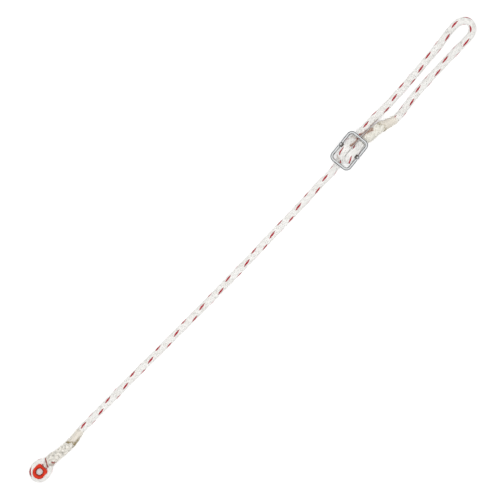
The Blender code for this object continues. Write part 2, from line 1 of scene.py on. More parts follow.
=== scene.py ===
"""Dressed model of an adjustable safety rope lanyard, laid out straight on a pale surface.

The rope is a twelve-millimetre braid of twenty-four strands, laid strand by strand. Its two ends are spliced,
one round a moulded thimble and one round the middle bar of a two-window adjuster, and a clear sleeve is shrunk
over each splice's tail. Metres, +Z up, +X from the thimble to the loop's bend.
"""

import math
from functools import partial

import bmesh
import bpy
import numpy as np
from mathutils import Matrix, Vector
from mathutils.bvhtree import BVHTree


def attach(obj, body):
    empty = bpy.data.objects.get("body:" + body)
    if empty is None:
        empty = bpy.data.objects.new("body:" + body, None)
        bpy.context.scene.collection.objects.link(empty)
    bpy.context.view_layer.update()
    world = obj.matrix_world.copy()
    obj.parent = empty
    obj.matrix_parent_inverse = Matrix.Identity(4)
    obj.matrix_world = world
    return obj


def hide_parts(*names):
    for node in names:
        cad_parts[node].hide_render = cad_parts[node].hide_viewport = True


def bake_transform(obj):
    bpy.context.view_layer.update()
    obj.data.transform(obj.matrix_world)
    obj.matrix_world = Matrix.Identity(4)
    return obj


bl_info = {
    "name": "Safety rope lanyard",
    "version": (1, 0, 0),
    "blender": (4, 5, 0),
    "location": "View3D > Sidebar > Lanyard",
    "description": "Builds a braided rope lanyard with its thimble, adjuster and splices",
    "category": "Add Mesh",
}

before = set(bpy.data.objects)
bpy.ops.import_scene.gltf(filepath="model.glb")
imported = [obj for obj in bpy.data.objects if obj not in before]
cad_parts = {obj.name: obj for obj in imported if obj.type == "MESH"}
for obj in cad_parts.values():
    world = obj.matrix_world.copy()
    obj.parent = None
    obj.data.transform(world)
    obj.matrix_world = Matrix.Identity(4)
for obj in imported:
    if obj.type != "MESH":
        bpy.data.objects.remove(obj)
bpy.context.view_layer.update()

MM = 0.001

# The lanyard's own sizes, as its solids have them
GAP = 0.3 * MM
LANE_GAP = 3.6 * MM               # between the two rope lanes in the adjuster
THIMBLE_PLACE = Vector((-483.6, 0.2, 0.0)) * MM
THIMBLE_HALF_HEIGHT = 7.33 * MM
BORE_OFFSET = (483.2 * MM, -0.2 * MM, 0.0)  # takes the bore's axis to the origin
EYE_BEND_R = 11.3 * MM            # the rope's centre line round the thimble
THROAT_X = 22.8 * MM              # from the round end's centre to where the splice starts
THROAT_PLACE = THIMBLE_PLACE + Vector((THROAT_X, 0, 0))
THROAT_LEG_R = 4.7 * MM
THROAT_LEG_SPREAD = 10.0 * MM
EYE_STRAIGHT = 5.8 * MM           # from the round end's centre to where the eye's legs have their full spread
EYE_FULLNESS = 0.8                # below 1 the legs spread sooner after the throat
EYE_THIN_RATE = 1.6               # how soon after the throat they are as thick as the rope in the eye
EYE_LEG_INTO_SPLICE = 12.0 * MM   # how far the eye's legs run on inside the splice
EYE_LEG_END = (0.55, 0.9)         # and their spread and thickness there, as shares of those at the throat
EYE_CROSSING = 5.16 * MM          # along the rope in both eyes, from one crossing of its strands to the next
EYE_TWIST = math.radians(10)      # of the whole cover round the thimble

ADJUSTER_PLACE = Vector((216.5, 0.3, 0.0)) * MM
ADJUSTER_YAW = math.radians(5.2)
ADJUSTER_PITCH = math.radians(3.7)
BAR_R = 2.9 * MM
BAR_SPACING = 26.5 * MM           # from the middle bar to an end bar, centre to centre
WEAVE_LEAD = 7.0 * MM             # how far past the end bars the weave runs
WEAVE_IN = 0.0 * MM               # where across the frame it starts
WEAVE_SHIFT = (-30.0 * MM, -6.0 * MM)  # between which places along the frame it moves into its lane
WEAVE_OUT = 5.9 * MM              # where across the frame it ends
WEAVE_TURNS = ((0, (0.4 * MM, 0.3 * MM)), (-1, (-0.9 * MM, -1.0 * MM)))  # how far its ends turn, across and up
RAIL = 17.2 * MM                  # the side rails' centre lines
FRAME_CORNER = 7.0 * MM
# A lug's outline, as (distance from the frame's middle, radius), from its inner end to its outer one
LUG_OUTLINE = np.array((
    (12.4, 0), (12.4, 3.1), (12.8, 3.4), (15.6, 4.4), (16.4, 4.6), (17.2, 4.65), (18.2, 4.4), (19.1, 3.8),
    (19.8, 2.8), (20.2, 1.5), (20.3, 0),
)) * MM
LUG_SHADE = (17.2 * MM, 14.8 * MM)  # Painted shade on the lugs: none from here out, and full from here in
# Sides of the frame's round bar, cuts round one of its corners, and sides of a lug
BAR_SIDES, CORNER_CUTS, LUG_SIDES = 32, 14, 40
LANE_SPREAD = 1.15 * MM           # how much wider than round the rope lies between the adjuster's bars
SQUARENESS = 1.4                  # how square a squeezed section is: the power of its outline above an oval's 2
LANE_SPREAD_RUN = (4.0 * MM, 14.0 * MM)  # from the weave's ends to where it starts, and over which it grows
LANE_WAIST = (0.6, 7.0 * MM)      # how much of that is missing between the lugs, and how far along from them
LANE_SQUEEZE = 1.0 * MM           # and how far the two lanes are pushed together there
BAR_EYE_LAY = (1.66, 25.0)        # crossings and twist in degrees at the spliced eye's upper end
BAR_EYE_TWIST = 30.0              # radians to the metre
BAR_EYE_BULGE = 4.2 * MM          # how far the spliced eye stands off the middle bar on its bend's outside
BAR_EYE_RUN = 12.5 * MM           # straight rope from its bend to where its upper leg starts to close in
BAR_EYE_LOWER_RUN = 4.0 * MM      # how much sooner its lower leg does
# The ends of its upper and its lower leg from there, as (along, across, up)
BAR_EYE_ENDS = ((6.0 * MM, -0.6 * MM, -2.4 * MM), (6.0 * MM, -0.6 * MM, -1.6 * MM))

# Splices
SPLICE_FLATNESS = 0.9             # how much taller than the rope a splice is, for what it is wider
TUCK_CROSSING = 4.6 * MM          # along the splice, from one tucked bundle's crossing to the next
TUCK_LUMPS = 0.05                 # how much fuller than the mean the splice is at every other crossing
TUCK_HEIGHT = 0.8 * MM            # how far a splice's body stands off the surface, on its tucks or its sleeve
TUCK_THIN_END = 0.25              # how full the bundles are at a splice's end, and over what run they taper
TUCK_TAPER = 9.0 * MM
TUCK_FRONT_RATE = 1.5             # how much faster the adjuster's tucks taper at their other end
ADJUSTER_TUCKS_FROM = 14.0 * MM
# Each splice's stations: (distance, sideways place, half width in rope diameters)
THIMBLE_SPLICE = (
    (0.0, 0.0, 0.75), (4.0, 0.0, 0.76), (10.0, -0.6, 0.75), (19.5, -2.5, 0.69), (30.5, -3.8, 0.68),
    (37.0, -4.4, 0.64), (43.0, -4.5, 0.59), (52.0, -3.9, 0.58), (63.0, -2.5, 0.52), (72.0, -1.4, 0.49),
)
# What fills the throat between the eye's legs, as (distance, sideways, half width, half height, centre height)
THROAT_ROWS = np.array((
    (-11.4, 0.0, 3.6, 4.2, 7.3), (-7.0, 0.0, 5.2, 5.2, 7.6), (-3.0, 0.0, 7.4, 6.7, 8.4),
)) * MM
ADJUSTER_SPLICE = (
    (6.8, -7.3, 0.48), (12.0, -7.3, 0.49), (17.0, -7.3, 0.50), (23.0, -7.6, 0.54), (29.5, -8.7, 0.64),
    (36.5, -10.3, 0.71), (45.5, -11.7, 0.73), (54.4, -13.3, 0.73), (62.3, -16.0, 0.69), (68.3, -18.9, 0.61),
    (76.1, -22.4, 0.54), (82.0, -24.7, 0.51), (85.6, -25.6, 0.50), (88.6, -25.9, 0.49),
)
BAR_SPLICE_HEIGHT = 1.25          # rope diameters, under the adjuster's end bar
BAR_SPLICE_RUN = 8.0 * MM         # over which it has its full height again past that bar
SLEEVE_LAP = 3.0 * MM             # how far ahead of its hem a sleeve's stations start
FILM_GAP = 0.35 * MM              # between the splice and the film over it
FILM_MESH = (56, 29)              # sides of the film's tube, and cuts along it
FILM_WRINKLES = ((0.018, 3, 1.9 * MM), (0.014, 2, -2.6 * MM))  # height, waves round it, and run of each set
THIMBLE_SLEEVE_FROM = 41.0 * MM
ADJUSTER_SLEEVE_FROM = 60.0 * MM
HEM_BAND = 8.0 * MM               # how far in from its hem a sleeve is marked
HEM_MARK = 1.05                   # how strong the mark is at the hem itself
HEM_STREAK = 1.05                 # radians from the top to the marked streak along a sleeve's side
HEM_STREAK_MARK = (1.215, 1.17)   # how strong that is at the hem, and what it loses along the sleeve
HEM_SLANT = 3.6 * MM              # how far a sleeve's torn hem runs ahead and behind
HEM_TEAR = ((1.0, 1, 0.6), (0.55, 3, 0.8), (0.35, 7, 0.0))  # share of that, waves round it and their turn

# Free rope: its centre line's route, in millimetres
MAIN_ROUTE = (
    (-377.0, -1.2), (-352.0, -1.3), (-316.0, -1.7), (-280.0, -1.9), (-244.0, -2.5), (-208.0, -3.3),
    (-172.0, -3.8), (-136.0, -4.5), (-100.0, -5.0), (-64.0, -5.1), (-28.0, -5.3), (8.0, -5.1), (44.0, -4.6),
    (80.0, -4.6), (116.0, -4.2), (150.0, -3.2),
)
LOOP_ROUTE = (
    (278.0, 8.1), (293.0, 7.2), (309.0, 6.7), (325.0, 7.2), (341.0, 7.9), (357.0, 8.5), (373.0, 9.2),
    (388.0, 10.3), (404.0, 11.6), (418.0, 12.5), (434.0, 13.8), (450.0, 15.9), (466.0, 17.7), (479.5, 17.4),
    (489.5, 12.4), (493.6, 3.6), (490.2, -5.4), (481.0, -10.6), (468.0, -11.6), (453.0, -11.3),
    (438.0, -11.2), (422.0, -11.3), (406.0, -11.8), (391.0, -11.9), (375.0, -12.2), (359.0, -12.9),
    (343.0, -14.4), (329.0, -16.0),
)
# What shows of the tracers' yarns on the thimble splice: (its line, width), in millimetres
THIMBLE_TRACERS = (
    (((-460.6, 9.2), (-461.6, 7.0), (-463.8, 3.0), (-466.6, -1.2), (-468.6, -5.4)), 1.2),
    (((-461.8, 9.0), (-462.8, 6.8), (-464.9, 2.8), (-467.6, -1.4), (-469.4, -5.0)), 1.1),
    (((-459.9, -3.0), (-458.4, -4.8), (-456.6, -7.4)), 1.2),
    (((-458.6, -2.6), (-457.0, -4.4), (-455.2, -7.2)), 1.2),
)
THREAD_STEP = 0.7 * MM
THREAD_THICKNESS = 1.1 * MM
THREAD_STAND = 0.35               # how far a yarn's middle stands above what it lies on, in its own thickness
LOOP_BEND_FROM = 458.0 * MM       # the bend's own piece is the rope past this X
EASE_OUT = 7.0 * MM               # straight rope out of a splice's thin end
TAIL_INSIDE = 5.0 * MM            # how far the free rope shows as rope inside it
WEAVE_EASE = 15.0 * MM            # straight rope past the weave's ends
THIN_RUN = 30.0 * MM              # over which the rope gets thinner on its way into the adjuster
ROUTE_STEP = 3.0 * MM             # between the points of a smoothed route, and between a splice's sections
ROPE_STEP = 1.72 * MM             # between the braid's stations: a third of the way from crossing to crossing

# The braid's lay: a place by the line in millimetres, how many floats of one strand have gone by there, and the
# twist of the whole cover in degrees
LAY = (
    (-384.0, -1.2, -2.0, -42.0), (-347.8, -1.3, 0.0, -36.0), (-236.0, -2.7, 6.0, -19.0),
    (-177.8, -3.7, 9.0, -5.0), (-120.3, -4.8, 12.0, 9.0), (-60.6, -5.1, 15.0, 27.0), (-21.7, -5.3, 17.0, 40.0),
    (37.7, -4.8, 20.0, 57.0), (98.4, -4.4, 23.0, 65.0), (159.3, -3.0, 26.0, 68.0), (197.3, -0.6, 28.0, 88.0),
    (208.0, 5.0, 29.0, 95.0), (262.7, 8.6, 32.0, 90.0), (304.8, 6.8, 34.0, 68.0), (365.9, 8.9, 37.0, 54.0),
    (431.3, 13.6, 40.0, 33.0), (473.3, 17.6, 42.0, 18.0), (489.6, -6.2, 44.0, 24.0), (466.9, -11.6, 45.0, 28.0),
    (423.5, -11.2, 47.0, 31.0), (360.5, -12.9, 50.0, 31.0), (341.6, -14.6, 51.0, 31.0),
)
LAY_WINDOW = 10                   # stations on each side over which the lay is evened out
FLOAT_CROSSINGS = 4               # from one float of a strand to its next
FLOAT_MIDDLE = 0.5                # the crossings passed at the middle of a tracer's float
FLOAT_LIFT = 0.48                 # how far a strand rises and dips, in its own thickness
FLOAT_SHARPNESS = 1.8             # how soon it goes from the one to the other
COVER_SLEW = 3.0 * MM             # how far the cover's left side has slid ahead of its middle
TRACER_FULLNESS = 1.45            # a tracer strand's width over the others'
TRACER_RISE = 0.12 * MM           # and how much prouder it stands
TRACER_PINCH = 0.75               # and how much of its width it loses where it dips
TRACER_PRESSED = 0.3              # and where the rope is squeezed
TRACER_DIP = (0.75, 0.9)          # when in its rise and dip it starts to lose that, and how soon

# Rust and grime, with painted shadow, in the gap between the ropes at the adjuster, painted shadows along the
# adjuster's end bars, and darkening along the thimble splice's lower edge, as (from, to, half width, strength)
# in millimetres
STAINS_AND_SHADOWS = (
    ((223.5, 4.0), (230.0, 2.8), 1.3, 1.0), ((230.0, 2.8), (239.0, 2.2), 1.3, 0.8),
    ((247.5, 3.4), (256.0, 1.8), 1.8, 0.8), ((256.0, 1.8), (265.5, -1.8), 2.0, 0.9),
    ((268.5, 2.2), (281.0, 0.8), 1.3, 0.7),
    # Painted shadows along the end bars' inner sides
    ((198.6, 12.0), (195.8, 0.4), 0.7, 0.5), ((235.6, 13.0), (238.4, 3.4), 0.7, 0.5),
    # Darker along the thimble splice's lower edge
    ((-460.5, -6.8), (-451.0, -10.4), 1.2, 0.55),
)

MERGE = 0.002 * MM                # corners nearer than this are one

# The stage
FLOOR_HALF = 6.0                  # half a side of the surface
SENSOR = 36.0                     # width of the camera's sensor, in millimetres
VIEW_MIDDLE = (-3.3 * MM, 4.2 * MM)  # what the camera is straight above
ROPE_MIDDLE = 6.0 * MM            # the height at which the picture spans the view width
LAMP_SIZE = 2.0                   # a square softbox overhead
LAMP_HEIGHT = 1.8


def linear(code):
    """The linear colour of an sRGB hex code."""
    channels = [int(code[i:i + 2], 16) / 255 for i in (0, 2, 4)]
    return [c / 12.92 if c <= 0.04045 else ((c + 0.055) / 1.055) ** 2.4 for c in channels]


# ---------------------------------------------------------------- settings


def colour_setting(name, description, code):
    """A colour on the panel, given as an sRGB hex code."""
    return bpy.props.FloatVectorProperty(
        name=name, description=description, default=linear(code), subtype="COLOR")


def length_setting(name, description, default, least=0.0):
    """A length on the panel, in metres."""
    return bpy.props.FloatProperty(
        name=name, description=description, default=default, min=least, unit="LENGTH")


class RopeSettings(bpy.types.PropertyGroup):
    """The rope's sizes and yarn colours."""

    diameter: length_setting("Diameter", "The free rope's diameter", 12 * MM, least=4 * MM)
    eye_thinning: length_setting(
        "Thinning in the eye", "How much thinner the rope is round the thimble", 1.2 * MM)
    adjuster_thinning: length_setting(
        "Thinning in the adjuster", "How much thinner the rope is round the bars", 1.0 * MM)
    strands: bpy.props.IntProperty(
        name="Strands each way", description="Strands of each hand in the braided cover", default=12, min=4)
    strand_thickness: length_setting("Strand thickness", "Thickness of one flattened strand", 1.25 * MM)
    yarn: colour_setting("Yarn", "Colour of the cover's yarn", "F3F2EF")
    # The soil colour is also painted shade in the crevices between the strands
    soil_and_shade: colour_setting("Soil", "Colour of what settles between the strands", "C9C4B8")
    # The stain colour also paints shadows beside the adjuster's end bars and between the ropes
    stain_and_shadow: colour_setting("Stain", "Colour of the rust and grime between the ropes at the adjuster", "92593A")
    tracer: colour_setting("Tracer", "Colour of the two tracer strands", "B01A30")


class SpliceSettings(bpy.types.PropertyGroup):
    """The two splices and the sleeves over their tails."""

    strands: bpy.props.IntProperty(
        name="Bundles each way", description="Tucked bundles of each hand", default=6, min=2)
    bundle_thickness: length_setting("Bundle thickness", "Thickness of one tucked bundle", 1.9 * MM)
    yarn: colour_setting("Bundle", "Colour of the tucked bundles", "ECE9DF")
    # This colour is painted shade in the crevices between the tucked bundles, as well as settled dirt
    grime_and_shade: colour_setting("Grime", "Colour of what settles between the tucked bundles", "77746A")
    wear_and_shade: colour_setting("Worn bundle", "Colour of the tucked bundles by the thimble", "F0ECE3")
    tracer: colour_setting("Tucked tracer", "Colour of the tracers' worn yarns on the thimble splice", "A04A46")
    film_wall: length_setting("Film wall", "Thickness of the shrunk film", 0.35 * MM)
    film: colour_setting("Film", "Colour of the shrink film", "FDF7EC")
    film_edge: colour_setting("Film edge", "Colour of the film where it is doubled or scorched", "9C8C64")


class FittingSettings(bpy.types.PropertyGroup):
    """The thimble and the adjuster."""

    plastic: colour_setting("Plastic", "Colour of the thimble", "DA300F")
    # The colour of the painted shade in the thimble's bore
    plastic_shade: colour_setting("Plastic in the bore", "Colour of the thimble's worn bore", "93260F")
    steel: colour_setting("Steel", "Colour of the adjuster", "E2E4E5")
    # Painted shade on the lugs' inner ends
    lug_shade: colour_setting("Grime on the lugs", "Colour of the steel where the ropes rub on it", "96908C")


class StageSettings(bpy.types.PropertyGroup):
    """The camera and the light."""

    camera_height: length_setting("Camera height", "The camera's height over the surface", 6.0)
    view_width: length_setting("View width", "What the picture spans at the rope's middle", 0.785)
    camera_turn: bpy.props.FloatProperty(
        name="Camera turn", description="Turn of the camera about the vertical", default=math.radians(-46.02),
        subtype="ANGLE")
    lamp_power: bpy.props.FloatProperty(
        name="Lamp power", description="Power of the overhead softbox", default=21.0, unit="POWER")
    ambient: bpy.props.FloatProperty(
        name="Ambient", description="Strength of the light from all round", default=0.63)


# ---------------------------------------------------------------- lines


def smooth_step(t):
    """0 to 1 with a level start and end."""
    t = np.clip(t, 0.0, 1.0)
    return t * t * (3 - 2 * t)


def lengths(points):
    """How far along its line each point lies."""
    steps = np.linalg.norm(np.diff(points, axis=0), axis=1)
    return np.concatenate([[0], np.cumsum(steps)])


def smooth_line(points, step):
    """Points about a step apart on a smooth curve through the given ones."""
    given = np.array([tuple(point) for point in points], float)
    padded = np.vstack([2 * given[0] - given[1], given, 2 * given[-1] - given[-2]])
    dense = [given[0]]
    shares = np.linspace(0, 1, 25)[1:]
    for i in range(1, len(padded) - 2):
        before, start, end, after = padded[i - 1:i + 3]
        for t in shares:
            dense.append(0.5 * (
                2 * start + (end - before) * t + (2 * before - 5 * start + 4 * end - after) * t**2
                + (3 * start - before - 3 * end + after) * t**3
            ))
    return evenly(np.array(dense), step)


def evenly(points, step):
    """The same line with its points a step apart."""
    points = np.array([tuple(point) for point in points], float)
    along = lengths(points)
    wanted = np.linspace(0, along[-1], max(2, round(along[-1] / step)) + 1)
    return np.stack([np.interp(wanted, along, points[:, k]) for k in range(points.shape[1])], axis=1)


def softened(points, passes):
    """The line with its small corners rounded off and its ends kept."""
    for _ in range(passes):
        points[1:-1] = (points[:-2] + 2 * points[1:-1] + points[2:]) / 4
    return points


def placed(points, place, yaw=0.0):
    """Points of a piece's own frame, in the lanyard's frame."""
    turn = Matrix.Rotation(yaw, 3, "Z")
    return [turn @ Vector(point) + place for point in points]


# ---------------------------------------------------------------- stations


class Stations:
    """Where a plait lies: a centre line with its sideways and upward directions, and at each point the half
    width and height, the crossings passed, the twist of the whole plait in radians and how squeezed it is:
    0 where its section is oval, and 1 where its sides are nearly flat."""

    def __init__(self, centre, half_width, half_height, crossings, twist, up=None, slew=0.0, squeeze=None):
        self.slew = slew
        self.centre = np.array(centre, float)
        self.along = lengths(self.centre)
        self.half_width = np.array(half_width, float)
        self.half_height = np.array(half_height, float)
        self.crossings = np.array(crossings, float)
        self.twist = np.array(twist, float)
        self.squeeze = np.zeros(len(self.centre)) if squeeze is None else squeeze
        ways = np.gradient(self.centre, axis=0)
        self.ways = ways / np.linalg.norm(ways, axis=1)[:, None]
        if up is None:
            ups = [np.array((0.0, 0.0, 1.0))]
            for way in self.ways:
                level = ups[-1] - way * np.dot(ups[-1], way)
                ups.append(level / np.linalg.norm(level))
            up = np.array(ups[1:])
        self.up = up
        self.left = np.cross(self.up, self.ways)

    def shifted(self, sideways):
        """Moves the centre line to its left by these distances."""
        self.centre += self.left * np.reshape(sideways, (-1, 1))

    def part(self, first, last):
        """The stations from one to another, both included."""
        cut = slice(first, last + 1)
        return Stations(self.centre[cut], self.half_width[cut], self.half_height[cut], self.crossings[cut],
                        self.twist[cut], self.up[cut], self.slew, self.squeeze[cut])

    def laid(self, straight):
        """Points of the straight plait, as (along, turn from the top, share of the radius), where they lie."""
        along = straight[:, 0] + self.slew * np.sin(straight[:, 1])
        first = np.clip(np.searchsorted(self.along, along) - 1, 0, len(self.along) - 2)
        run = self.along[first + 1] - self.along[first]
        mix = (along - self.along[first]) / run

        def at(values):
            share = mix if values.ndim == 1 else mix[:, None]
            return values[first] * (1 - share) + values[first + 1] * share

        sine, cosine = np.sin(straight[:, 1]), np.cos(straight[:, 1])
        power = 2 + SQUARENESS * at(self.squeeze)
        share = straight[:, 2] * (np.abs(sine) ** power + np.abs(cosine) ** power) ** (-1 / power)
        side = at(self.half_width) * share * sine
        rise = at(self.half_height) * share * cosine
        return at(self.centre) + at(self.left) * side[:, None] + at(self.up) * rise[:, None]


class Running:
    """The running rope's whole line, from the thimble splice through the adjuster and round the loop."""

    def __init__(self, settings):
        self.rope_r = settings.diameter / 2
        self.adjuster_r = self.rope_r - settings.adjuster_thinning / 2
        weave = weave_line(self.adjuster_r)
        start, leaving = tail_end(lying_rows(THIMBLE_SPLICE, settings.diameter),
                                  THROAT_PLACE, 0.0)
        inside = start - leaving * TAIL_INSIDE
        end, ending = tail_end(adjuster_rows(settings), ADJUSTER_PLACE, ADJUSTER_YAW)
        lead_in = leading(weave[0], weave[1], self.rope_r)[::-1]
        main = smooth_line([inside, start, start + leaving * EASE_OUT] + self.on_surface(MAIN_ROUTE) + lead_in,
                           ROUTE_STEP)
        loop = smooth_line(leading(weave[-1], weave[-2], self.rope_r) + self.on_surface(LOOP_ROUTE)
                           + [end + ending * EASE_OUT, end, end - ending * TAIL_INSIDE], ROUTE_STEP)
        whole = np.vstack([main[:-1], [tuple(point) for point in weave], loop[1:]])
        line = softened(evenly(whole, ROPE_STEP), 3)
        x = line[:, 0]
        middle = int(np.argmin(np.abs(x - ADJUSTER_PLACE.x)))
        self.weave_in = int(np.argmin(np.abs(x[:middle] - weave[0].x)))
        self.weave_out = middle + int(np.argmin(np.abs(x[middle:] - weave[-1].x)))
        past = np.nonzero(x > LOOP_BEND_FROM)[0]
        self.bend_in, self.bend_out = int(past[0]), int(past[-1])
        free = np.ones(len(line), bool)
        free[self.weave_in:self.weave_out + 1] = False
        line[free, 2] = np.maximum(line[free, 2], self.rope_r)
        along = lengths(line)
        away = np.maximum(np.maximum(along[self.weave_in] - along, along - along[self.weave_out]), 0)
        radius = self.rope_r - (self.rope_r - self.adjuster_r) * np.clip(1 - away / THIN_RUN, 0, 1)
        floats, twist = self.lay(line, along)
        inside = np.minimum(along - along[self.weave_in], along[self.weave_out] - along)
        squeeze = smooth_step((inside - LANE_SPREAD_RUN[0]) / LANE_SPREAD_RUN[1])
        self.stations = Stations(line, radius + lane_spread(line) * squeeze, radius,
                                 FLOAT_CROSSINGS * floats + FLOAT_MIDDLE, np.radians(twist), slew=COVER_SLEW,
                                 squeeze=squeeze)
        self.stations.shifted(-LANE_SQUEEZE * between_lugs(line) * squeeze)

    def on_surface(self, route):
        """A listed route in millimetres as centre-line points of a rope that lies on the surface."""
        return [Vector((x * MM, y * MM, self.rope_r)) for x, y in route]

    def lay(self, line, along):
        """The floats passed and the cover's twist in degrees, at each point of the line."""
        places, counts, twists = [], [], []
        for x, y, count, twist in LAY:
            away = np.hypot(line[:, 0] - x * MM, line[:, 1] - y * MM)
            places.append(along[int(np.argmin(away))])
            counts.append(count)
            twists.append(twist)
        window = np.hanning(2 * LAY_WINDOW + 3)[1:-1]
        window /= window.sum()
        smooth = []
        for values in (counts, twists):
            rate = np.polyfit(places[:3], values[:3], 1)[0], np.polyfit(places[-3:], values[-3:], 1)[0]
            drawn = np.interp(along, places, values)
            drawn += rate[0] * np.minimum(along - places[0], 0) + rate[1] * np.maximum(along - places[-1], 0)
            drawn = np.pad(drawn, LAY_WINDOW, mode="reflect", reflect_type="odd")
            smooth.append(np.convolve(drawn, window, mode="valid"))
        return smooth


def leading(end, inner, rope_r):
    """Points that lead from the weave's end on to the surface: the end itself, and one further out and half way
    down."""
    out = end + (end - inner).normalized() * WEAVE_EASE
    out.z += (rope_r - end.z) * 0.5
    return [end, out]


def between_lugs(line):
    """How near these places are to the line between the lugs: 1 on it and 0 far off."""
    return np.exp(-((line[:, 0] - ADJUSTER_PLACE.x) / LANE_WAIST[1]) ** 2)


def lane_spread(line):
    """How much wider than round the rope is at these places in the adjuster."""
    return LANE_SPREAD * (1 - LANE_WAIST[0] * between_lugs(line))


def on_pivot(points, rope_diameter, pitch=ADJUSTER_PITCH):
    """Points given from the middle bar's centre, in the lanyard's frame, tilted about that bar."""
    tilt = Matrix.Rotation(-pitch, 3, "Y")
    place = ADJUSTER_PLACE + Vector((0, 0, pivot_height(rope_diameter)))
    return placed([tilt @ Vector(point) for point in points], place, ADJUSTER_YAW)


def pivot_height(rope_diameter):
    """The middle bar's height: the end bar rests on the splice."""
    return BAR_SPLICE_HEIGHT * rope_diameter + GAP + BAR_R - BAR_SPACING * math.sin(ADJUSTER_PITCH)


def round_bar(rope_r):
    """How far from a bar's centre the rope's centre line goes round it, and how steep the line is between two
    bars."""
    wrap_r = BAR_R + GAP + rope_r
    return wrap_r, math.asin(2 * wrap_r / BAR_SPACING)


def weave_line(rope_r):
    """The running rope's centre line through the adjuster: under the near end bar, over the middle bar and
    under the far end bar."""
    wrap_r, slope = round_bar(rope_r)
    lane = rope_r + LANE_GAP / 2
    steps = 4
    half = [(-BAR_SPACING - WEAVE_LEAD, -wrap_r)]
    for i in range(steps + 1):
        turn = slope * i / steps
        half.append((-BAR_SPACING + wrap_r * math.sin(turn), -wrap_r * math.cos(turn)))
    for i in range(steps + 1):
        turn = slope * (1 - i / steps)
        half.append((-wrap_r * math.sin(turn), wrap_r * math.cos(turn)))
    points = []
    for u, w in half + [(-u, w) for u, w in half[-2::-1]]:
        across = smooth_step((u - WEAVE_SHIFT[0]) / (WEAVE_SHIFT[1] - WEAVE_SHIFT[0]))
        v = WEAVE_IN + (lane - WEAVE_IN) * across
        v += (WEAVE_OUT - lane) * smooth_step(u / BAR_SPACING)
        points.append((u, v, w))
    for end, (across, up) in WEAVE_TURNS:
        points[end] = (points[end][0], points[end][1] + across, points[end][2] + up)
    return on_pivot(points, bpy.context.scene.lanyard_rope.diameter)


def lying_rows(stations, diameter):
    """Sections of a splice that lies on the surface, as (distance, sideways, half width, half height, centre
    height)."""
    rope_r = diameter / 2
    rows = []
    given = [(x * MM, y * MM, width * diameter) for x, y, width in stations]
    for x, y, width in smooth_line(given, ROUTE_STEP):
        half_height = rope_r + (width - rope_r) * SPLICE_FLATNESS
        rows.append((x, y, width, half_height, half_height + TUCK_HEIGHT))
    return np.array(rows)


def adjuster_rows(settings):
    """The adjuster's splice: tall where the eye's upper leg comes down to the lower one behind the middle bar,
    and low enough to pass under the end bar."""
    rope_r = (settings.diameter - settings.adjuster_thinning) / 2
    wrap_r, slope = round_bar(rope_r)
    pivot = pivot_height(settings.diameter)
    start = ADJUSTER_SPLICE[0][0] * MM
    under_bar = BAR_SPACING - BAR_R - GAP
    past_bar = BAR_SPACING + BAR_R
    bar_top = BAR_SPLICE_HEIGHT * settings.diameter
    start_top = pivot + (wrap_r + rope_r) / math.cos(slope) - start * math.tan(slope)
    start_low = pivot - wrap_r - rope_r
    rows = lying_rows(ADJUSTER_SPLICE, settings.diameter)
    for row in rows:
        if row[0] < under_bar:
            t = (row[0] - start) / (under_bar - start)
            top = start_top + (bar_top - start_top) * t
            bottom = start_low + (GAP - start_low) * t
            row[3:] = (top - bottom) / 2, (top + bottom) / 2
        else:
            t = smooth_step((row[0] - past_bar) / BAR_SPLICE_RUN)
            bar_half = (bar_top - GAP) / 2
            row[3] = bar_half + (row[3] - bar_half) * t
            row[4] = GAP + bar_half + (row[4] - GAP - bar_half) * t
    return rows


def tail_end(rows, place, yaw):
    """The centre of a splice's thin end, where the free rope meets it, and the direction it leaves in."""
    end, back = placed([rows[-1][[0, 1, 4]], rows[-2][[0, 1, 4]]], place, yaw)
    return end, (end - back).normalized()


def splice_stations(rows, first, last, step, place, yaw):
    """Stations along a splice between two distances."""
    x = np.linspace(first, last, max(2, round((last - first) / step)) + 1)
    y, width, height, z = [np.interp(x, rows[:, 0], rows[:, k]) for k in range(1, 5)]
    width = width * (1 + TUCK_LUMPS * np.cos(math.pi * x / TUCK_CROSSING))
    centre = [tuple(point) for point in placed(np.stack([x, y, z], axis=1), place, yaw)]
    return Stations(centre, width, height, x / TUCK_CROSSING, np.zeros(len(x)))


def eye_line(rope_r):
    """The rope's centre line round the thimble from one leg's end to the other, with its radii."""
    half = []
    leg_y = THROAT_LEG_SPREAD / 2
    throat = THROAT_X - GAP
    steps = 8
    half.append((throat + EYE_LEG_INTO_SPLICE, EYE_LEG_END[0] * leg_y, EYE_LEG_END[1] * THROAT_LEG_R))
    for i in range(steps + 1):
        t = i / steps
        ease = smooth_step(max(0.0, (i - 1) / (steps - 1)) ** EYE_FULLNESS)
        radius = THROAT_LEG_R + (rope_r - THROAT_LEG_R) * min(1.0, EYE_THIN_RATE * t)
        half.append((throat + (EYE_STRAIGHT - throat) * t, leg_y + (EYE_BEND_R - leg_y) * ease, radius))
    for i in range(steps + 1):
        turn = 0.5 * math.pi * (1 + i / steps)
        half.append((EYE_BEND_R * math.cos(turn), EYE_BEND_R * math.sin(turn), rope_r))
    whole = half + [(x, -y, radius) for x, y, radius in half[-2::-1]]
    lift = THIMBLE_PLACE + Vector((0, 0, THIMBLE_HALF_HEIGHT))
    return [(*(lift + Vector((x, y, 0))), radius) for x, y, radius in whole]


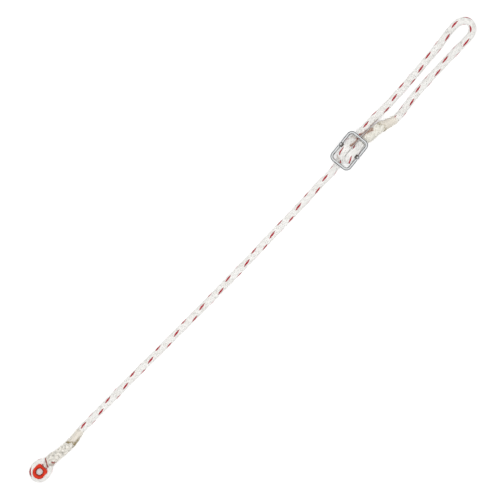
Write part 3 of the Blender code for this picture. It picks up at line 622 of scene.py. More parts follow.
def bar_eye_line(rope_r, diameter):
    """The spliced end's centre line round the middle bar: down from over the bar on both sides, its two legs
    closing in to each other inside the splice."""
    wrap_r, slope = round_bar(rope_r)
    lane = rope_r + LANE_GAP / 2
    side = wrap_r * math.sin(slope) + BAR_EYE_RUN * math.cos(slope)
    height = wrap_r * math.cos(slope) - BAR_EYE_RUN * math.sin(slope)
    upper, lower = [(side + along, -lane + across, up) for along, across, up in BAR_EYE_ENDS]
    points = [(*upper[:2], height + upper[2]), (side, -lane, height)]
    steps = 16
    for i in range(steps + 1):
        turn = slope - (slope + math.pi) * i / steps
        reach = wrap_r + BAR_EYE_BULGE * max(0.0, -math.sin(turn)) ** 1.5
        points.append((reach * math.sin(turn), -lane, reach * math.cos(turn)))
    points += [(side - BAR_EYE_LOWER_RUN, -lane, -wrap_r), (*lower[:2], -wrap_r + lower[2])]
    return on_pivot(points, diameter, 0.0)


# ---------------------------------------------------------------- pieces


def link(name, mesh, finishes):
    """A named object at the origin that shows this mesh in these finishes."""
    mesh.name = name
    for finish in finishes:
        mesh.materials.append(finish)
    obj = bpy.data.objects.new(name, mesh)
    bpy.context.scene.collection.objects.link(obj)
    return obj


def bevelled(lines, radii, section=None):
    """A mesh of closed tubes along the lines. A section is a closed outline of (across, up) points, with up
    along Z. Without one the tubes are round, with a radius of 1."""
    curve = bpy.data.curves.new("lay", "CURVE")
    curve.dimensions = "3D"
    curve.twist_mode = "Z_UP"
    curve.use_fill_caps = True
    made = [bpy.data.objects.new("lay", curve)]
    if section is None:
        curve.bevel_depth = 1.0
        curve.bevel_resolution = 6
    else:
        outline = bpy.data.curves.new("section", "CURVE")
        spline = outline.splines.new("POLY")
        spline.points.add(len(section) - 1)
        spline.use_cyclic_u = True
        for slot, (across, up) in zip(spline.points, section):
            slot.co = (across, up, 0.0, 1.0)
        made.append(bpy.data.objects.new("section", outline))
        curve.bevel_mode = "OBJECT"
        curve.bevel_object = made[1]
    for obj in made:
        bpy.context.scene.collection.objects.link(obj)
    for points, radius in zip(lines, radii):
        spline = curve.splines.new("POLY")
        spline.points.add(len(points) - 1)
        spline.points.foreach_set("co", np.hstack([points, np.ones((len(points), 1))]).ravel())
        spline.points.foreach_set("radius", radius)
    bpy.context.view_layer.update()
    graph = bpy.context.evaluated_depsgraph_get()
    mesh = bpy.data.meshes.new_from_object(made[0].evaluated_get(graph))
    for obj in made:
        bpy.data.objects.remove(obj, do_unlink=True)
    return mesh


def corners(mesh):
    """The mesh's points as an array."""
    co = np.empty(len(mesh.vertices) * 3, np.float32)
    mesh.vertices.foreach_get("co", co)
    return co.reshape(-1, 3).astype(float)


def set_corners(mesh, co):
    """Moves the mesh's points."""
    mesh.vertices.foreach_set("co", np.asarray(co, np.float32).ravel())
    mesh.update()


def strand_section(half_width, half_thickness, ends):
    """The outline of a flattened strand of this many yarns side by side: each has a flat top, with a valley
    between two, and the strand is narrower below."""
    flat, top, valley = 0.55 / ends, 0.82, 0.45
    edge, below, narrower = -0.1, -0.8, 0.45
    upper = []
    for i in range(ends):
        middle = -1 + (2 * i + 1) / ends
        upper += [(middle - flat, top), (middle + flat, top)]
        if i < ends - 1:
            upper.append((-1 + 2 * (i + 1) / ends, valley))
    outline = [(-1.0, edge), *upper, (1.0, edge), (narrower, below), (-narrower, below)]
    return [(x * half_width, y * half_thickness) for x, y in outline]


def plait(name, stations, each_way, over, thickness, ends, tracers, finishes, fade=None, added=()):
    """A braided cover with a core in it. Each strand goes over this many strands of the other hand and then
    under as many. tracers numbers the right-handed strands in the second finish: they are a little fuller than
    the rest, and pinched where they dip. fade gives the strands' share of their full size at each station, and
    added more parts of the piece. The cover is made flat, with the rope's length along X and its girth along Y,
    and then laid round the core."""
    count = len(stations.along)
    outer = float(np.median(stations.half_width + stations.half_height)) / 2
    half = thickness / 2
    lift = FLOAT_LIFT * thickness
    middle = outer - half - lift
    full = np.ones(count) if fade is None else fade
    step = math.pi / each_way
    spread = 2 * step * middle
    rate = float(np.median(np.abs(np.gradient(stations.crossings, stations.along))))
    width = spread * math.cos(math.atan(middle * step * rate)) / 2
    skip = 2 if over == 2 else 0
    parts = list(added)
    for hand in (1, -1):
        for odd in (0, 1):
            for number in (0, 1):
                strands = [i for i in range(odd, each_way, 2) if (hand == 1 and i in tracers) == number]
                turns = [stations.twist + step * (hand * stations.crossings + 2 * i) for i in strands]
                lines = [np.stack([stations.along, turn * middle, 0 * turn], axis=1) for turn in turns]
                if not lines:
                    continue
                section = strand_section(width * (TRACER_FULLNESS if number else 1), half, ends)
                mesh = bevelled(lines, [full] * len(lines), section)
                co = corners(mesh)
                q, twist, size = [np.interp(co[:, 0], stations.along, values)
                                  for values in (stations.crossings, stations.twist, full)]
                strand = ((co[:, 1] / middle - twist) / step - hand * q) / 2
                own = 2 * np.round((strand - odd) / 2) + odd
                across = strand - own
                # Each strand rises where it reaches the edge of one that it goes over
                if hand == 1:
                    phase = q + across + skip * own - (over - 1) / 2
                else:
                    phase = skip * own + (1 - skip) * (q - across) - (over - 1) / 2 - over
                wave = np.cos(math.pi / over * phase)
                rise = np.tanh(FLOAT_SHARPNESS * wave) / math.tanh(FLOAT_SHARPNESS)
                height = co[:, 2] + rise * lift * size - half * (1 - size)
                turn = co[:, 1] / middle
                if number:
                    pressed = TRACER_PRESSED * np.interp(co[:, 0], stations.along, stations.squeeze)
                    dip = smooth_step(TRACER_DIP[0] + pressed - TRACER_DIP[1] * wave)
                    pinch = (1 - pressed) * (1 - TRACER_PINCH * dip)
                    turn -= 2 * step * across * (1 - pinch)
                    height += TRACER_RISE - half * (1 - pinch)
                straight = np.stack([co[:, 0], turn, (middle + height) / outer], axis=1)
                set_corners(mesh, stations.laid(straight))
                parts.append((mesh, (height / (lift + half) + 1) / 2, number))
    core_line = np.stack([stations.along, np.zeros(count), np.zeros(count)], axis=1)
    core = bevelled([core_line], [np.ones(count)])
    co = corners(core)
    reach = np.hypot(co[:, 1], co[:, 2]) * (middle - lift) / outer
    set_corners(core, stations.laid(np.stack([co[:, 0], np.arctan2(co[:, 1], co[:, 2]), reach], axis=1)))
    parts.append((core, np.zeros(len(co)), 0))
    return joined(name, parts, finishes, stations.along[-1])


def joined(name, parts, finishes, length):
    """One object of several meshes, each given with a depth value for each corner and the number of its finish.
    The caps' doubled corners are merged, and the UV map's V is in metres along the rope."""
    bm = bmesh.new()
    depths = bm.verts.layers.float.new("depth")
    # Where stains and painted shadows lie
    stain_and_shadow_layer = bm.verts.layers.float.new("stain_and_shadow")
    for mesh, depth, number in parts:
        first = len(bm.verts)
        mesh.polygons.foreach_set("material_index", [number] * len(mesh.polygons))
        stain_and_shadow = stains_and_shadows_at(corners(mesh))
        bm.from_mesh(mesh)
        bm.verts.ensure_lookup_table()
        for vert, low, grime_and_shade in zip(bm.verts[first:], depth, stain_and_shadow):
            vert[depths] = low
            vert[stain_and_shadow_layer] = grime_and_shade
        bpy.data.meshes.remove(mesh)
    bmesh.ops.remove_doubles(bm, verts=bm.verts, dist=MERGE)
    mesh = bpy.data.meshes.new(name)
    bm.to_mesh(mesh)
    bm.free()
    mesh.shade_smooth()
    uv = mesh.uv_layers[0]
    values = np.empty(len(uv.data) * 2, np.float32)
    uv.data.foreach_get("uv", values)
    values[1::2] *= length
    uv.data.foreach_set("uv", values)
    return link(name, mesh, finishes)


def stains_and_shadows_at(co):
    """How strongly each point is marked with stain and painted shadow, by its distance from the marked lines
    seen from above.
    """
    amount = np.zeros(len(co))
    for start, end, half_width, strength in STAINS_AND_SHADOWS:
        start, run = np.array(start) * MM, (np.array(end) - start) * MM
        share = np.clip((co[:, :2] - start) @ run / (run @ run), 0, 1)
        away = np.linalg.norm(co[:, :2] - start - share[:, None] * run, axis=1)
        amount = np.maximum(amount, strength * smooth_step(2 - away / (half_width * MM)))
    return amount


def draped(points, width, pieces):
    """A mesh of one flattened yarn that lies over these pieces, along the places given in millimetres."""
    graph = bpy.context.evaluated_depsgraph_get()
    trees = [BVHTree.FromObject(piece, graph) for piece in pieces]
    down = Vector((0, 0, -1))
    line = []
    for x, y in smooth_line([(x * MM, y * MM) for x, y in points], THREAD_STEP):
        above = Vector((x, y, 0.1))
        hits = [hit.z for hit in (tree.ray_cast(above, down)[0] for tree in trees) if hit]
        if not hits:
            raise ValueError(f"no rope under the yarn at {x:.4f}, {y:.4f}")
        line.append((x, y, max(hits)))
    line = softened(np.array(line), 2)
    line[:, 2] += THREAD_STAND * THREAD_THICKNESS
    # Its ends taper over their last three points
    count = len(line)
    taper = smooth_step(np.minimum(np.arange(count), np.arange(count)[::-1]) / 3 + 0.3)
    outline = [(0.5 * width * math.cos(turn), 0.5 * THREAD_THICKNESS * math.sin(turn))
               for turn in np.linspace(0, 2 * math.pi, 11)[:-1]]
    return bevelled([line], [taper], outline)


def rope_piece(name, stations, settings):
    """A stretch of the rope itself: twenty-four strands, two of one hand being tracers on opposite sides."""
    each_way = settings.strands
    return plait(name, stations, each_way, 2, settings.strand_thickness, 2, (0, each_way // 2),
                 (yarn("braided_polyamide", settings.yarn, settings.soil_and_shade, settings.stain_and_shadow),
                  yarn("tracer_polyamide", settings.tracer, settings.tracer, settings.stain_and_shadow)))


# ---------------------------------------------------------------- finishes


def node(tree, kind, inputs=None, **settings):
    """Adds a shader node with its settings; inputs are values or the sockets that feed them."""
    made = tree.nodes.new(kind)
    for key, value in settings.items():
        setattr(made, key, value)
    for key, value in (inputs or {}).items():
        if isinstance(value, bpy.types.NodeSocket):
            tree.links.new(value, made.inputs[key])
        else:
            made.inputs[key].default_value = value
    return made


def finish_of(name):
    """A new material of this name and its tree and shader, or the one that is there and nothing more."""
    known = bpy.data.materials.get(name)
    if known:
        return known, None, None
    made = bpy.data.materials.new(name)
    made.use_nodes = True
    return made, made.node_tree, made.node_tree.nodes["Principled BSDF"]


def yarn(name, colour, soil_and_shade, stain_and_shadow, shade_and_soil_amount=0.45, patch_scale=85.0):
    """Braided polyamide: bulked filament yarn, dull with a soft sheen. The filaments run along each strand,
    the crevices between the strands are painted darker, as painted shade and settled dirt, and the stain
    attribute marks rust and grime and painted shadows."""
    made, tree, shader = finish_of(name)
    if tree is None:
        return made
    colour, soil_and_shade, stain_and_shadow = tuple(colour), tuple(soil_and_shade), tuple(stain_and_shadow)
    uv = node(tree, "ShaderNodeUVMap", uv_map="UVMap").outputs["UV"]
    depth = node(tree, "ShaderNodeAttribute", attribute_name="depth").outputs["Fac"]
    # Filament bundles about 0.25 mm wide, drawn three times as coarse as real filaments so that they show
    stretched = node(tree, "ShaderNodeMapping", {"Vector": uv, "Scale": (26.0, 420.0, 1.0)}).outputs["Vector"]
    threads = node(tree, "ShaderNodeTexNoise", {"Vector": stretched, "Scale": 1.0, "Detail": 2.0},
                   noise_dimensions="2D").outputs["Fac"]
    place = node(tree, "ShaderNodeTexCoord").outputs["Object"]
    # Patches where the rope has been handled: 12 mm across, and 4 mm on the worn splice
    patches = node(tree, "ShaderNodeTexNoise", {"Vector": place, "Scale": patch_scale,
                                                "Detail": 3.0}).outputs["Fac"]
    # Painted shade and settled dirt in the crevices: the lower a strand lies, the darker it is painted
    low = node(tree, "ShaderNodeMapRange", {"Value": depth, "From Min": 0.75, "From Max": 0.3,
                                            "To Min": 0.0, "To Max": shade_and_soil_amount}).outputs["Result"]
    wear_and_shade = node(tree, "ShaderNodeMapRange", {"Value": patches, "From Min": 0.45, "From Max": 0.7,
                                             "To Min": 0.0, "To Max": 0.6 * shade_and_soil_amount}).outputs["Result"]
    amount = node(tree, "ShaderNodeMath", {0: low, 1: wear_and_shade}, operation="ADD", use_clamp=True).outputs["Value"]
    tinted = node(tree, "ShaderNodeMix", {"Factor": amount, "A": (*colour, 1), "B": (*soil_and_shade, 1)},
                  data_type="RGBA").outputs["Result"]
    # Rust and grime, and painted shadows beside the end bars and between the ropes, where the stain attribute
    # gives them
    marked = node(tree, "ShaderNodeAttribute", attribute_name="stain_and_shadow").outputs["Fac"]
    # The stains and painted shadows are broken up over about 2 mm
    broken = node(tree, "ShaderNodeTexNoise", {"Vector": place, "Scale": 520.0, "Detail": 2.0}).outputs["Fac"]
    uneven = node(tree, "ShaderNodeMapRange", {"Value": broken, "From Min": 0.3, "From Max": 0.6,
                                               "To Min": 0.35, "To Max": 1.0}).outputs["Result"]
    marked = node(tree, "ShaderNodeMath", {0: marked, 1: uneven}, operation="MULTIPLY").outputs["Value"]
    tinted = node(tree, "ShaderNodeMix", {"Factor": marked, "A": tinted, "B": (*stain_and_shadow, 1)},
                  data_type="RGBA").outputs["Result"]
    tree.links.new(tinted, shader.inputs["Base Color"])
    rough = node(tree, "ShaderNodeMapRange", {"Value": threads, "To Min": 0.7, "To Max": 0.9}).outputs["Result"]
    tree.links.new(rough, shader.inputs["Roughness"])
    bump = node(tree, "ShaderNodeBump", {"Height": threads, "Strength": 0.35, "Distance": 0.0002})
    tree.links.new(bump.outputs["Normal"], shader.inputs["Normal"])
    shader.inputs["Sheen Weight"].default_value = 0.25
    shader.inputs["Sheen Roughness"].default_value = 0.4
    return made


def moulded_plastic(colour, shade):
    """Injection-moulded polyamide, orange-red: a half-gloss skin with faint flow marks and fine scuffs, and
    painted shade in the bore, darkest towards its waist."""
    made, tree, shader = finish_of("moulded_polyamide")
    if tree is None:
        return made
    colour, shade = tuple(colour), tuple(shade)
    place = node(tree, "ShaderNodeTexCoord").outputs["Object"]
    # How far from the bore's axis: its waist is 4.5 mm out and its mouth 7.5 mm
    bore = node(tree, "ShaderNodeMapping", {"Vector": place, "Scale": (1.0, 1.0, 0.0), "Location": BORE_OFFSET})
    reach = node(tree, "ShaderNodeVectorMath", {0: bore.outputs["Vector"]}, operation="LENGTH").outputs["Value"]
    # Flow marks about 6 mm apart, scuffs under half a millimetre
    flow = node(tree, "ShaderNodeTexNoise", {"Vector": place, "Scale": 160.0, "Detail": 3.0,
                                             "Distortion": 0.6}).outputs["Fac"]
    scuffs = node(tree, "ShaderNodeTexNoise", {"Vector": place, "Scale": 2400.0, "Detail": 2.0}).outputs["Fac"]
    darker = tuple(0.78 * c for c in colour)
    mottled = node(tree, "ShaderNodeMapRange", {"Value": flow, "From Min": 0.3,
                                                "From Max": 0.7}).outputs["Result"]
    skin = node(tree, "ShaderNodeMix", {"Factor": mottled, "A": (*darker, 1), "B": (*colour, 1)},
                data_type="RGBA").outputs["Result"]
    # Painted shade in the bore: darker red the nearer a point is to its axis
    wear_and_shade = node(tree, "ShaderNodeMapRange", {"Value": reach, "From Min": 7.0 * MM, "From Max": 4.8 * MM})
    tinted = node(tree, "ShaderNodeMix", {"Factor": wear_and_shade.outputs["Result"], "A": skin, "B": (*shade, 1)},
                  data_type="RGBA").outputs["Result"]
    tree.links.new(tinted, shader.inputs["Base Color"])
    rough = node(tree, "ShaderNodeMapRange", {"Value": scuffs, "From Min": 0.35, "From Max": 0.7,
                                              "To Min": 0.38, "To Max": 0.55}).outputs["Result"]
    tree.links.new(rough, shader.inputs["Roughness"])
    bump = node(tree, "ShaderNodeBump", {"Height": flow, "Strength": 0.15, "Distance": 0.0004})
    tree.links.new(bump.outputs["Normal"], shader.inputs["Normal"])
    shader.inputs["Specular IOR Level"].default_value = 0.35
    shader.inputs["Subsurface Weight"].default_value = 0.05
    shader.inputs["Subsurface Scale"].default_value = 0.002
    return made


def polished_steel(colour, grime_and_shade):
    """Drawn steel bar, bent, welded and barrel-polished: bright, with fine scratches and a slightly uneven
    surface that breaks up its reflections. A per-corner attribute paints shade on the lugs' inner ends, by the
    ropes."""
    made, tree, shader = finish_of("barrel_polished_steel")
    if tree is None:
        return made
    colour, grime_and_shade = tuple(colour), tuple(grime_and_shade)
    place = node(tree, "ShaderNodeTexCoord").outputs["Object"]
    # Scratches about 0.15 mm wide, drawn coarser than the real ones so that they show
    fine = node(tree, "ShaderNodeMapping", {"Vector": place, "Scale": (900.0, 6500.0, 2200.0)})
    scratches = node(tree, "ShaderNodeTexNoise", {"Vector": fine.outputs["Vector"], "Scale": 1.0,
                                                  "Detail": 2.0}).outputs["Fac"]
    # The surface is uneven over about 7 mm
    uneven = node(tree, "ShaderNodeTexNoise", {"Vector": place, "Scale": 150.0, "Detail": 3.0}).outputs["Fac"]
    dull = tuple(0.93 * c for c in colour)
    bright = node(tree, "ShaderNodeMapRange", {"Value": uneven, "From Min": 0.35,
                                               "From Max": 0.65}).outputs["Result"]
    metal = node(tree, "ShaderNodeMix", {"Factor": bright, "A": (*dull, 1), "B": (*colour, 1)},
                 data_type="RGBA").outputs["Result"]
    # Painted shade on the lugs' inner ends, where the ropes run past them
    painted_shade = node(tree, "ShaderNodeAttribute", attribute_name="grime_and_shade").outputs["Fac"]
    tinted = node(tree, "ShaderNodeMix", {"Factor": painted_shade, "A": metal, "B": (*grime_and_shade, 1)},
                  data_type="RGBA").outputs["Result"]
    tree.links.new(tinted, shader.inputs["Base Color"])
    rough = node(tree, "ShaderNodeMapRange", {"Value": scratches, "From Min": 0.35, "From Max": 0.7,
                                              "To Min": 0.06, "To Max": 0.16}).outputs["Result"]
    tree.links.new(rough, shader.inputs["Roughness"])
    height = node(tree, "ShaderNodeMath", {0: uneven, 1: scratches}, operation="MULTIPLY").outputs["Value"]
    bump = node(tree, "ShaderNodeBump", {"Height": height, "Strength": 0.25, "Distance": 0.0006})
    tree.links.new(bump.outputs["Normal"], shader.inputs["Normal"])
    shader.inputs["Metallic"].default_value = 1.0
    return made


def shrink_film(colour, edge):
    """Heat-shrunk polyolefin film, clear but slightly yellowed: smooth and glossy, drawn tight over what it
    covers, and brown and less clear in patches by its hem. The hem and tail attributes say where those are."""
    made, tree, shader = finish_of("shrink_film")
    if tree is None:
        return made
    colour, edge = tuple(colour), tuple(edge)
    place = node(tree, "ShaderNodeTexCoord").outputs["Object"]
    # Wrinkles about 3 mm apart
    wrinkles = node(tree, "ShaderNodeTexNoise", {"Vector": place, "Scale": 330.0, "Detail": 2.0,
                                                 "Distortion": 1.0}).outputs["Fac"]
    hem = node(tree, "ShaderNodeAttribute", attribute_name="hem").outputs["Fac"]
    tail = node(tree, "ShaderNodeAttribute", attribute_name="tail").outputs["Fac"]
    broken = node(tree, "ShaderNodeMath", {0: hem, 1: wrinkles}, operation="MULTIPLY").outputs["Value"]
    dark = node(tree, "ShaderNodeMapRange", {"Value": broken, "From Min": 0.18,
                                             "From Max": 0.4}).outputs["Result"]
    tinted = node(tree, "ShaderNodeMix", {"Factor": dark, "A": (*colour, 1), "B": (*edge, 1)},
                  data_type="RGBA").outputs["Result"]
    tree.links.new(tinted, shader.inputs["Base Color"])
    alpha = node(tree, "ShaderNodeMapRange", {"Value": dark, "To Min": 0.5, "To Max": 0.85}).outputs["Result"]
    # It thins out to nothing over its last few millimetres
    left = node(tree, "ShaderNodeMath", {0: 1.0, 1: tail}, operation="SUBTRACT").outputs["Value"]
    alpha = node(tree, "ShaderNodeMath", {0: alpha, 1: left}, operation="MULTIPLY").outputs["Value"]
    tree.links.new(alpha, shader.inputs["Alpha"])
    bump = node(tree, "ShaderNodeBump", {"Height": wrinkles, "Strength": 0.4, "Distance": 0.0005})
    tree.links.new(bump.outputs["Normal"], shader.inputs["Normal"])
    shader.inputs["Roughness"].default_value = 0.22
    shader.inputs["Coat Weight"].default_value = 0.4
    shader.inputs["Coat Roughness"].default_value = 0.1
    return made


# ---------------------------------------------------------------- operators


class LANYARD_OT_main_rope(bpy.types.Operator):
    """Lay the free rope between the thimble splice and the adjuster"""

    bl_idname = "lanyard.main_rope"
    bl_label = "Main rope"

    def execute(self, context):
        rope = context.scene.lanyard_rope
        run = Running(rope)
        stations = run.stations.part(0, run.weave_in)
        piece = rope_piece("main_rope_braid", stations, rope)
        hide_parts("main_rope")
        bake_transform(piece)
        return {"FINISHED"}


class LANYARD_OT_adjuster_rope(bpy.types.Operator):
    """Lay the rope over the adjuster's middle bar, and the spliced eye round it"""

    bl_idname = "lanyard.adjuster_rope"
    bl_label = "Rope in the adjuster"

    def execute(self, context):
        rope = context.scene.lanyard_rope
        run = Running(rope)
        woven = rope_piece("woven_rope_braid", run.stations.part(run.weave_in, run.weave_out), rope)
        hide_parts("rope_over_middle_bar")
        radius = (rope.diameter - rope.adjuster_thinning) / 2
        line = softened(evenly(bar_eye_line(radius, rope.diameter), ROPE_STEP), 2)
        along = lengths(line)
        size = np.full(len(line), radius)
        crossings, twist = BAR_EYE_LAY
        stations = Stations(line, size + lane_spread(line), size, crossings + along / EYE_CROSSING,
                            math.radians(twist) + BAR_EYE_TWIST * along, squeeze=np.ones(len(line)))
        stations.shifted(-LANE_SQUEEZE * between_lugs(line))
        eye = rope_piece("bar_eye_braid", stations, rope)
        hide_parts("adjuster_eye_rope")
        for piece in (woven, eye):
            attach(piece, "adjuster")
        return {"FINISHED"}


class LANYARD_OT_loop(bpy.types.Operator):
    """Lay the loop's two legs and its bend"""

    bl_idname = "lanyard.loop"
    bl_label = "Loop"

    def execute(self, context):
        rope = context.scene.lanyard_rope
        run = Running(rope)
        last = len(run.stations.along) - 1
        bend = rope_piece("loop_bend_braid", run.stations.part(run.bend_in, run.bend_out), rope)
        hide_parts("loop_bend")
        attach(bend, "loop_end")
        for name, node_name, first, end in (
            ("running_leg_braid", "loop_running_leg", run.weave_out, run.bend_in),
            ("spliced_leg_braid", "loop_spliced_leg", run.bend_out, last),
        ):
            stations = run.stations.part(first, end)
            leg = rope_piece(name, stations, rope)
            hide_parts(node_name)
            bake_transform(leg)
        return {"FINISHED"}


class LANYARD_OT_thimble_eye(bpy.types.Operator):
    """Lay the rope round the thimble and finish the thimble"""

    bl_idname = "lanyard.thimble_eye"
    bl_label = "Thimble eye"

    def execute(self, context):
        rope = context.scene.lanyard_rope
        fittings = context.scene.lanyard_fittings
        table = evenly(eye_line((rope.diameter - rope.eye_thinning) / 2), ROPE_STEP)
        line, radius = softened(table[:, :3].copy(), 2), table[:, 3]
        along = lengths(line)
        stations = Stations(line, radius, radius, along / EYE_CROSSING, np.full(len(line), EYE_TWIST))
        eye = rope_piece("thimble_eye_braid", stations, rope)
        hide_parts("thimble_eye_rope")
        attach(eye, "standing_part")
        repaint("thimble", moulded_plastic(fittings.plastic, fittings.plastic_shade))
        return {"FINISHED"}


class LANYARD_OT_splices(bpy.types.Operator):
    """Tuck the two splices"""

    bl_idname = "lanyard.splices"
    bl_label = "Splices"

    def execute(self, context):
        rope = context.scene.lanyard_rope
        eye = [bpy.data.objects["thimble_eye_braid"]]
        rows = np.vstack([THROAT_ROWS, lying_rows(THIMBLE_SPLICE, rope.diameter)])
        self.tuck(context, "thimble_splice_tucks", "thimble_splice", "standing_part", rows, rows[0][0],
                  THROAT_PLACE, 0.0, eye, THIMBLE_TRACERS)
        self.tuck(context, "adjuster_splice_tucks", "adjuster_splice", "adjuster", adjuster_rows(rope),
                  ADJUSTER_TUCKS_FROM, ADJUSTER_PLACE, ADJUSTER_YAW, [], ())
        return {"FINISHED"}

    def tuck(self, context, name, node_name, body, rows, first, place, yaw, under, tracers):
        """One splice, with what shows of the tracers' yarns laid over it."""
        rope = context.scene.lanyard_rope
        splices = context.scene.lanyard_splices
        if tracers:
            finishes = (yarn("worn_tucked_polyamide", splices.wear_and_shade, splices.grime_and_shade, rope.stain_and_shadow, 1.0, 260.0),
                        yarn("worn_tracer_yarn", splices.tracer, splices.grime_and_shade, rope.stain_and_shadow, 0.6))
        else:
            finishes = (yarn("tucked_polyamide", splices.yarn, splices.grime_and_shade, rope.stain_and_shadow, 0.5),)
        stations = splice_stations(rows, first, rows[-1][0], TUCK_CROSSING / 4, place, yaw)
        ends = stations.along[-1] - stations.along
        if not tracers:
            ends = np.minimum(ends, TUCK_FRONT_RATE * stations.along)
        fade = TUCK_THIN_END + (1 - TUCK_THIN_END) * smooth_step(ends / TUCK_TAPER)
        make = partial(plait, name, stations, splices.strands, 1, splices.bundle_thickness, 3, (), finishes,
                       fade)
        piece = make()
        if tracers:
            threads = [draped(points, width * MM, [*under, piece]) for points, width in tracers]
            bpy.data.objects.remove(piece, do_unlink=True)
            piece = make(added=[(thread, np.ones(len(thread.vertices)), 1) for thread in threads])
        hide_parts(node_name)
        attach(piece, body)


class LANYARD_OT_sleeves(bpy.types.Operator):
    """Shrink the clear sleeves over the splices' tails"""

    bl_idname = "lanyard.sleeves"
    bl_label = "Sleeves"

    def execute(self, context):
        rope = context.scene.lanyard_rope
        for name, node_name, body, rows, first, place, yaw, marked in (
            ("thimble_splice_film", "thimble_splice_sleeve", "standing_part",
             lying_rows(THIMBLE_SPLICE, rope.diameter), THIMBLE_SLEEVE_FROM, THROAT_PLACE, 0.0, 1.0),
            ("adjuster_splice_film", "adjuster_splice_sleeve", "adjuster",
             adjuster_rows(rope), ADJUSTER_SLEEVE_FROM, ADJUSTER_PLACE, ADJUSTER_YAW, 0.6),
        ):
            piece = self.film(context, name, rows, first, place, yaw, marked)
            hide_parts(node_name)
            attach(piece, body)
        return {"FINISHED"}

    def film(self, context, name, rows, first, place, yaw, marked):
        """A tube of film drawn tight over the tucks, with a torn, slanting hem that is marked this much, and a
        tail that thins out."""
        splices = context.scene.lanyard_splices
        stations = splice_stations(rows, first - SLEEVE_LAP, rows[-1][0], 1 * MM, place, yaw)
        stations.half_width += FILM_GAP
        stations.half_height += FILM_GAP
        sides, cuts = FILM_MESH
        bm = bmesh.new()
        bmesh.ops.create_cone(bm, cap_ends=False, segments=sides, radius1=1, radius2=1, depth=1)
        lengthwise = [edge for edge in bm.edges if abs(edge.verts[0].co.z - edge.verts[1].co.z) > 0.5]
        bmesh.ops.subdivide_edges(bm, edges=lengthwise, cuts=cuts, use_grid_fill=True)
        mesh = bpy.data.meshes.new(name)
        bm.to_mesh(mesh)
        co = corners(mesh)
        share = co[:, 2] + 0.5
        turn = np.arctan2(co[:, 0], co[:, 1])
        slant = HEM_SLANT * sum(part * np.cos(waves * turn + turned) for part, waves, turned in HEM_TEAR)
        along = SLEEVE_LAP + (stations.along[-1] - SLEEVE_LAP - 0.2 * MM) * share + slant * (1 - share) ** 2
        lumps = sum(height * np.sin(waves * turn + along / run) for height, waves, run in FILM_WRINKLES)
        laid = stations.laid(np.stack([along, turn, 1 + lumps * (1 - share)], axis=1))
        streak = HEM_STREAK_MARK[0] - HEM_STREAK_MARK[1] * share
        streak *= np.maximum(np.cos(turn + HEM_STREAK), 0) ** 3
        hem = marked * np.maximum(HEM_MARK - share * stations.along[-1] / HEM_BAND, streak)
        # The tail is the last fifth
        tail = smooth_step((share - 0.8) / 0.2)
        hems, tails = [bm.verts.layers.float.new(key) for key in ("hem", "tail")]
        for vert, point, dark, thin in zip(bm.verts, laid, hem, tail):
            vert.co = point
            vert[hems] = max(dark, 0.0)
            vert[tails] = thin
        bmesh.ops.recalc_face_normals(bm, faces=bm.faces)
        bmesh.ops.solidify(bm, geom=bm.faces, thickness=splices.film_wall)
        bm.to_mesh(mesh)
        bm.free()
        mesh.shade_smooth()
        return link(name, mesh, [shrink_film(splices.film, splices.film_edge)])


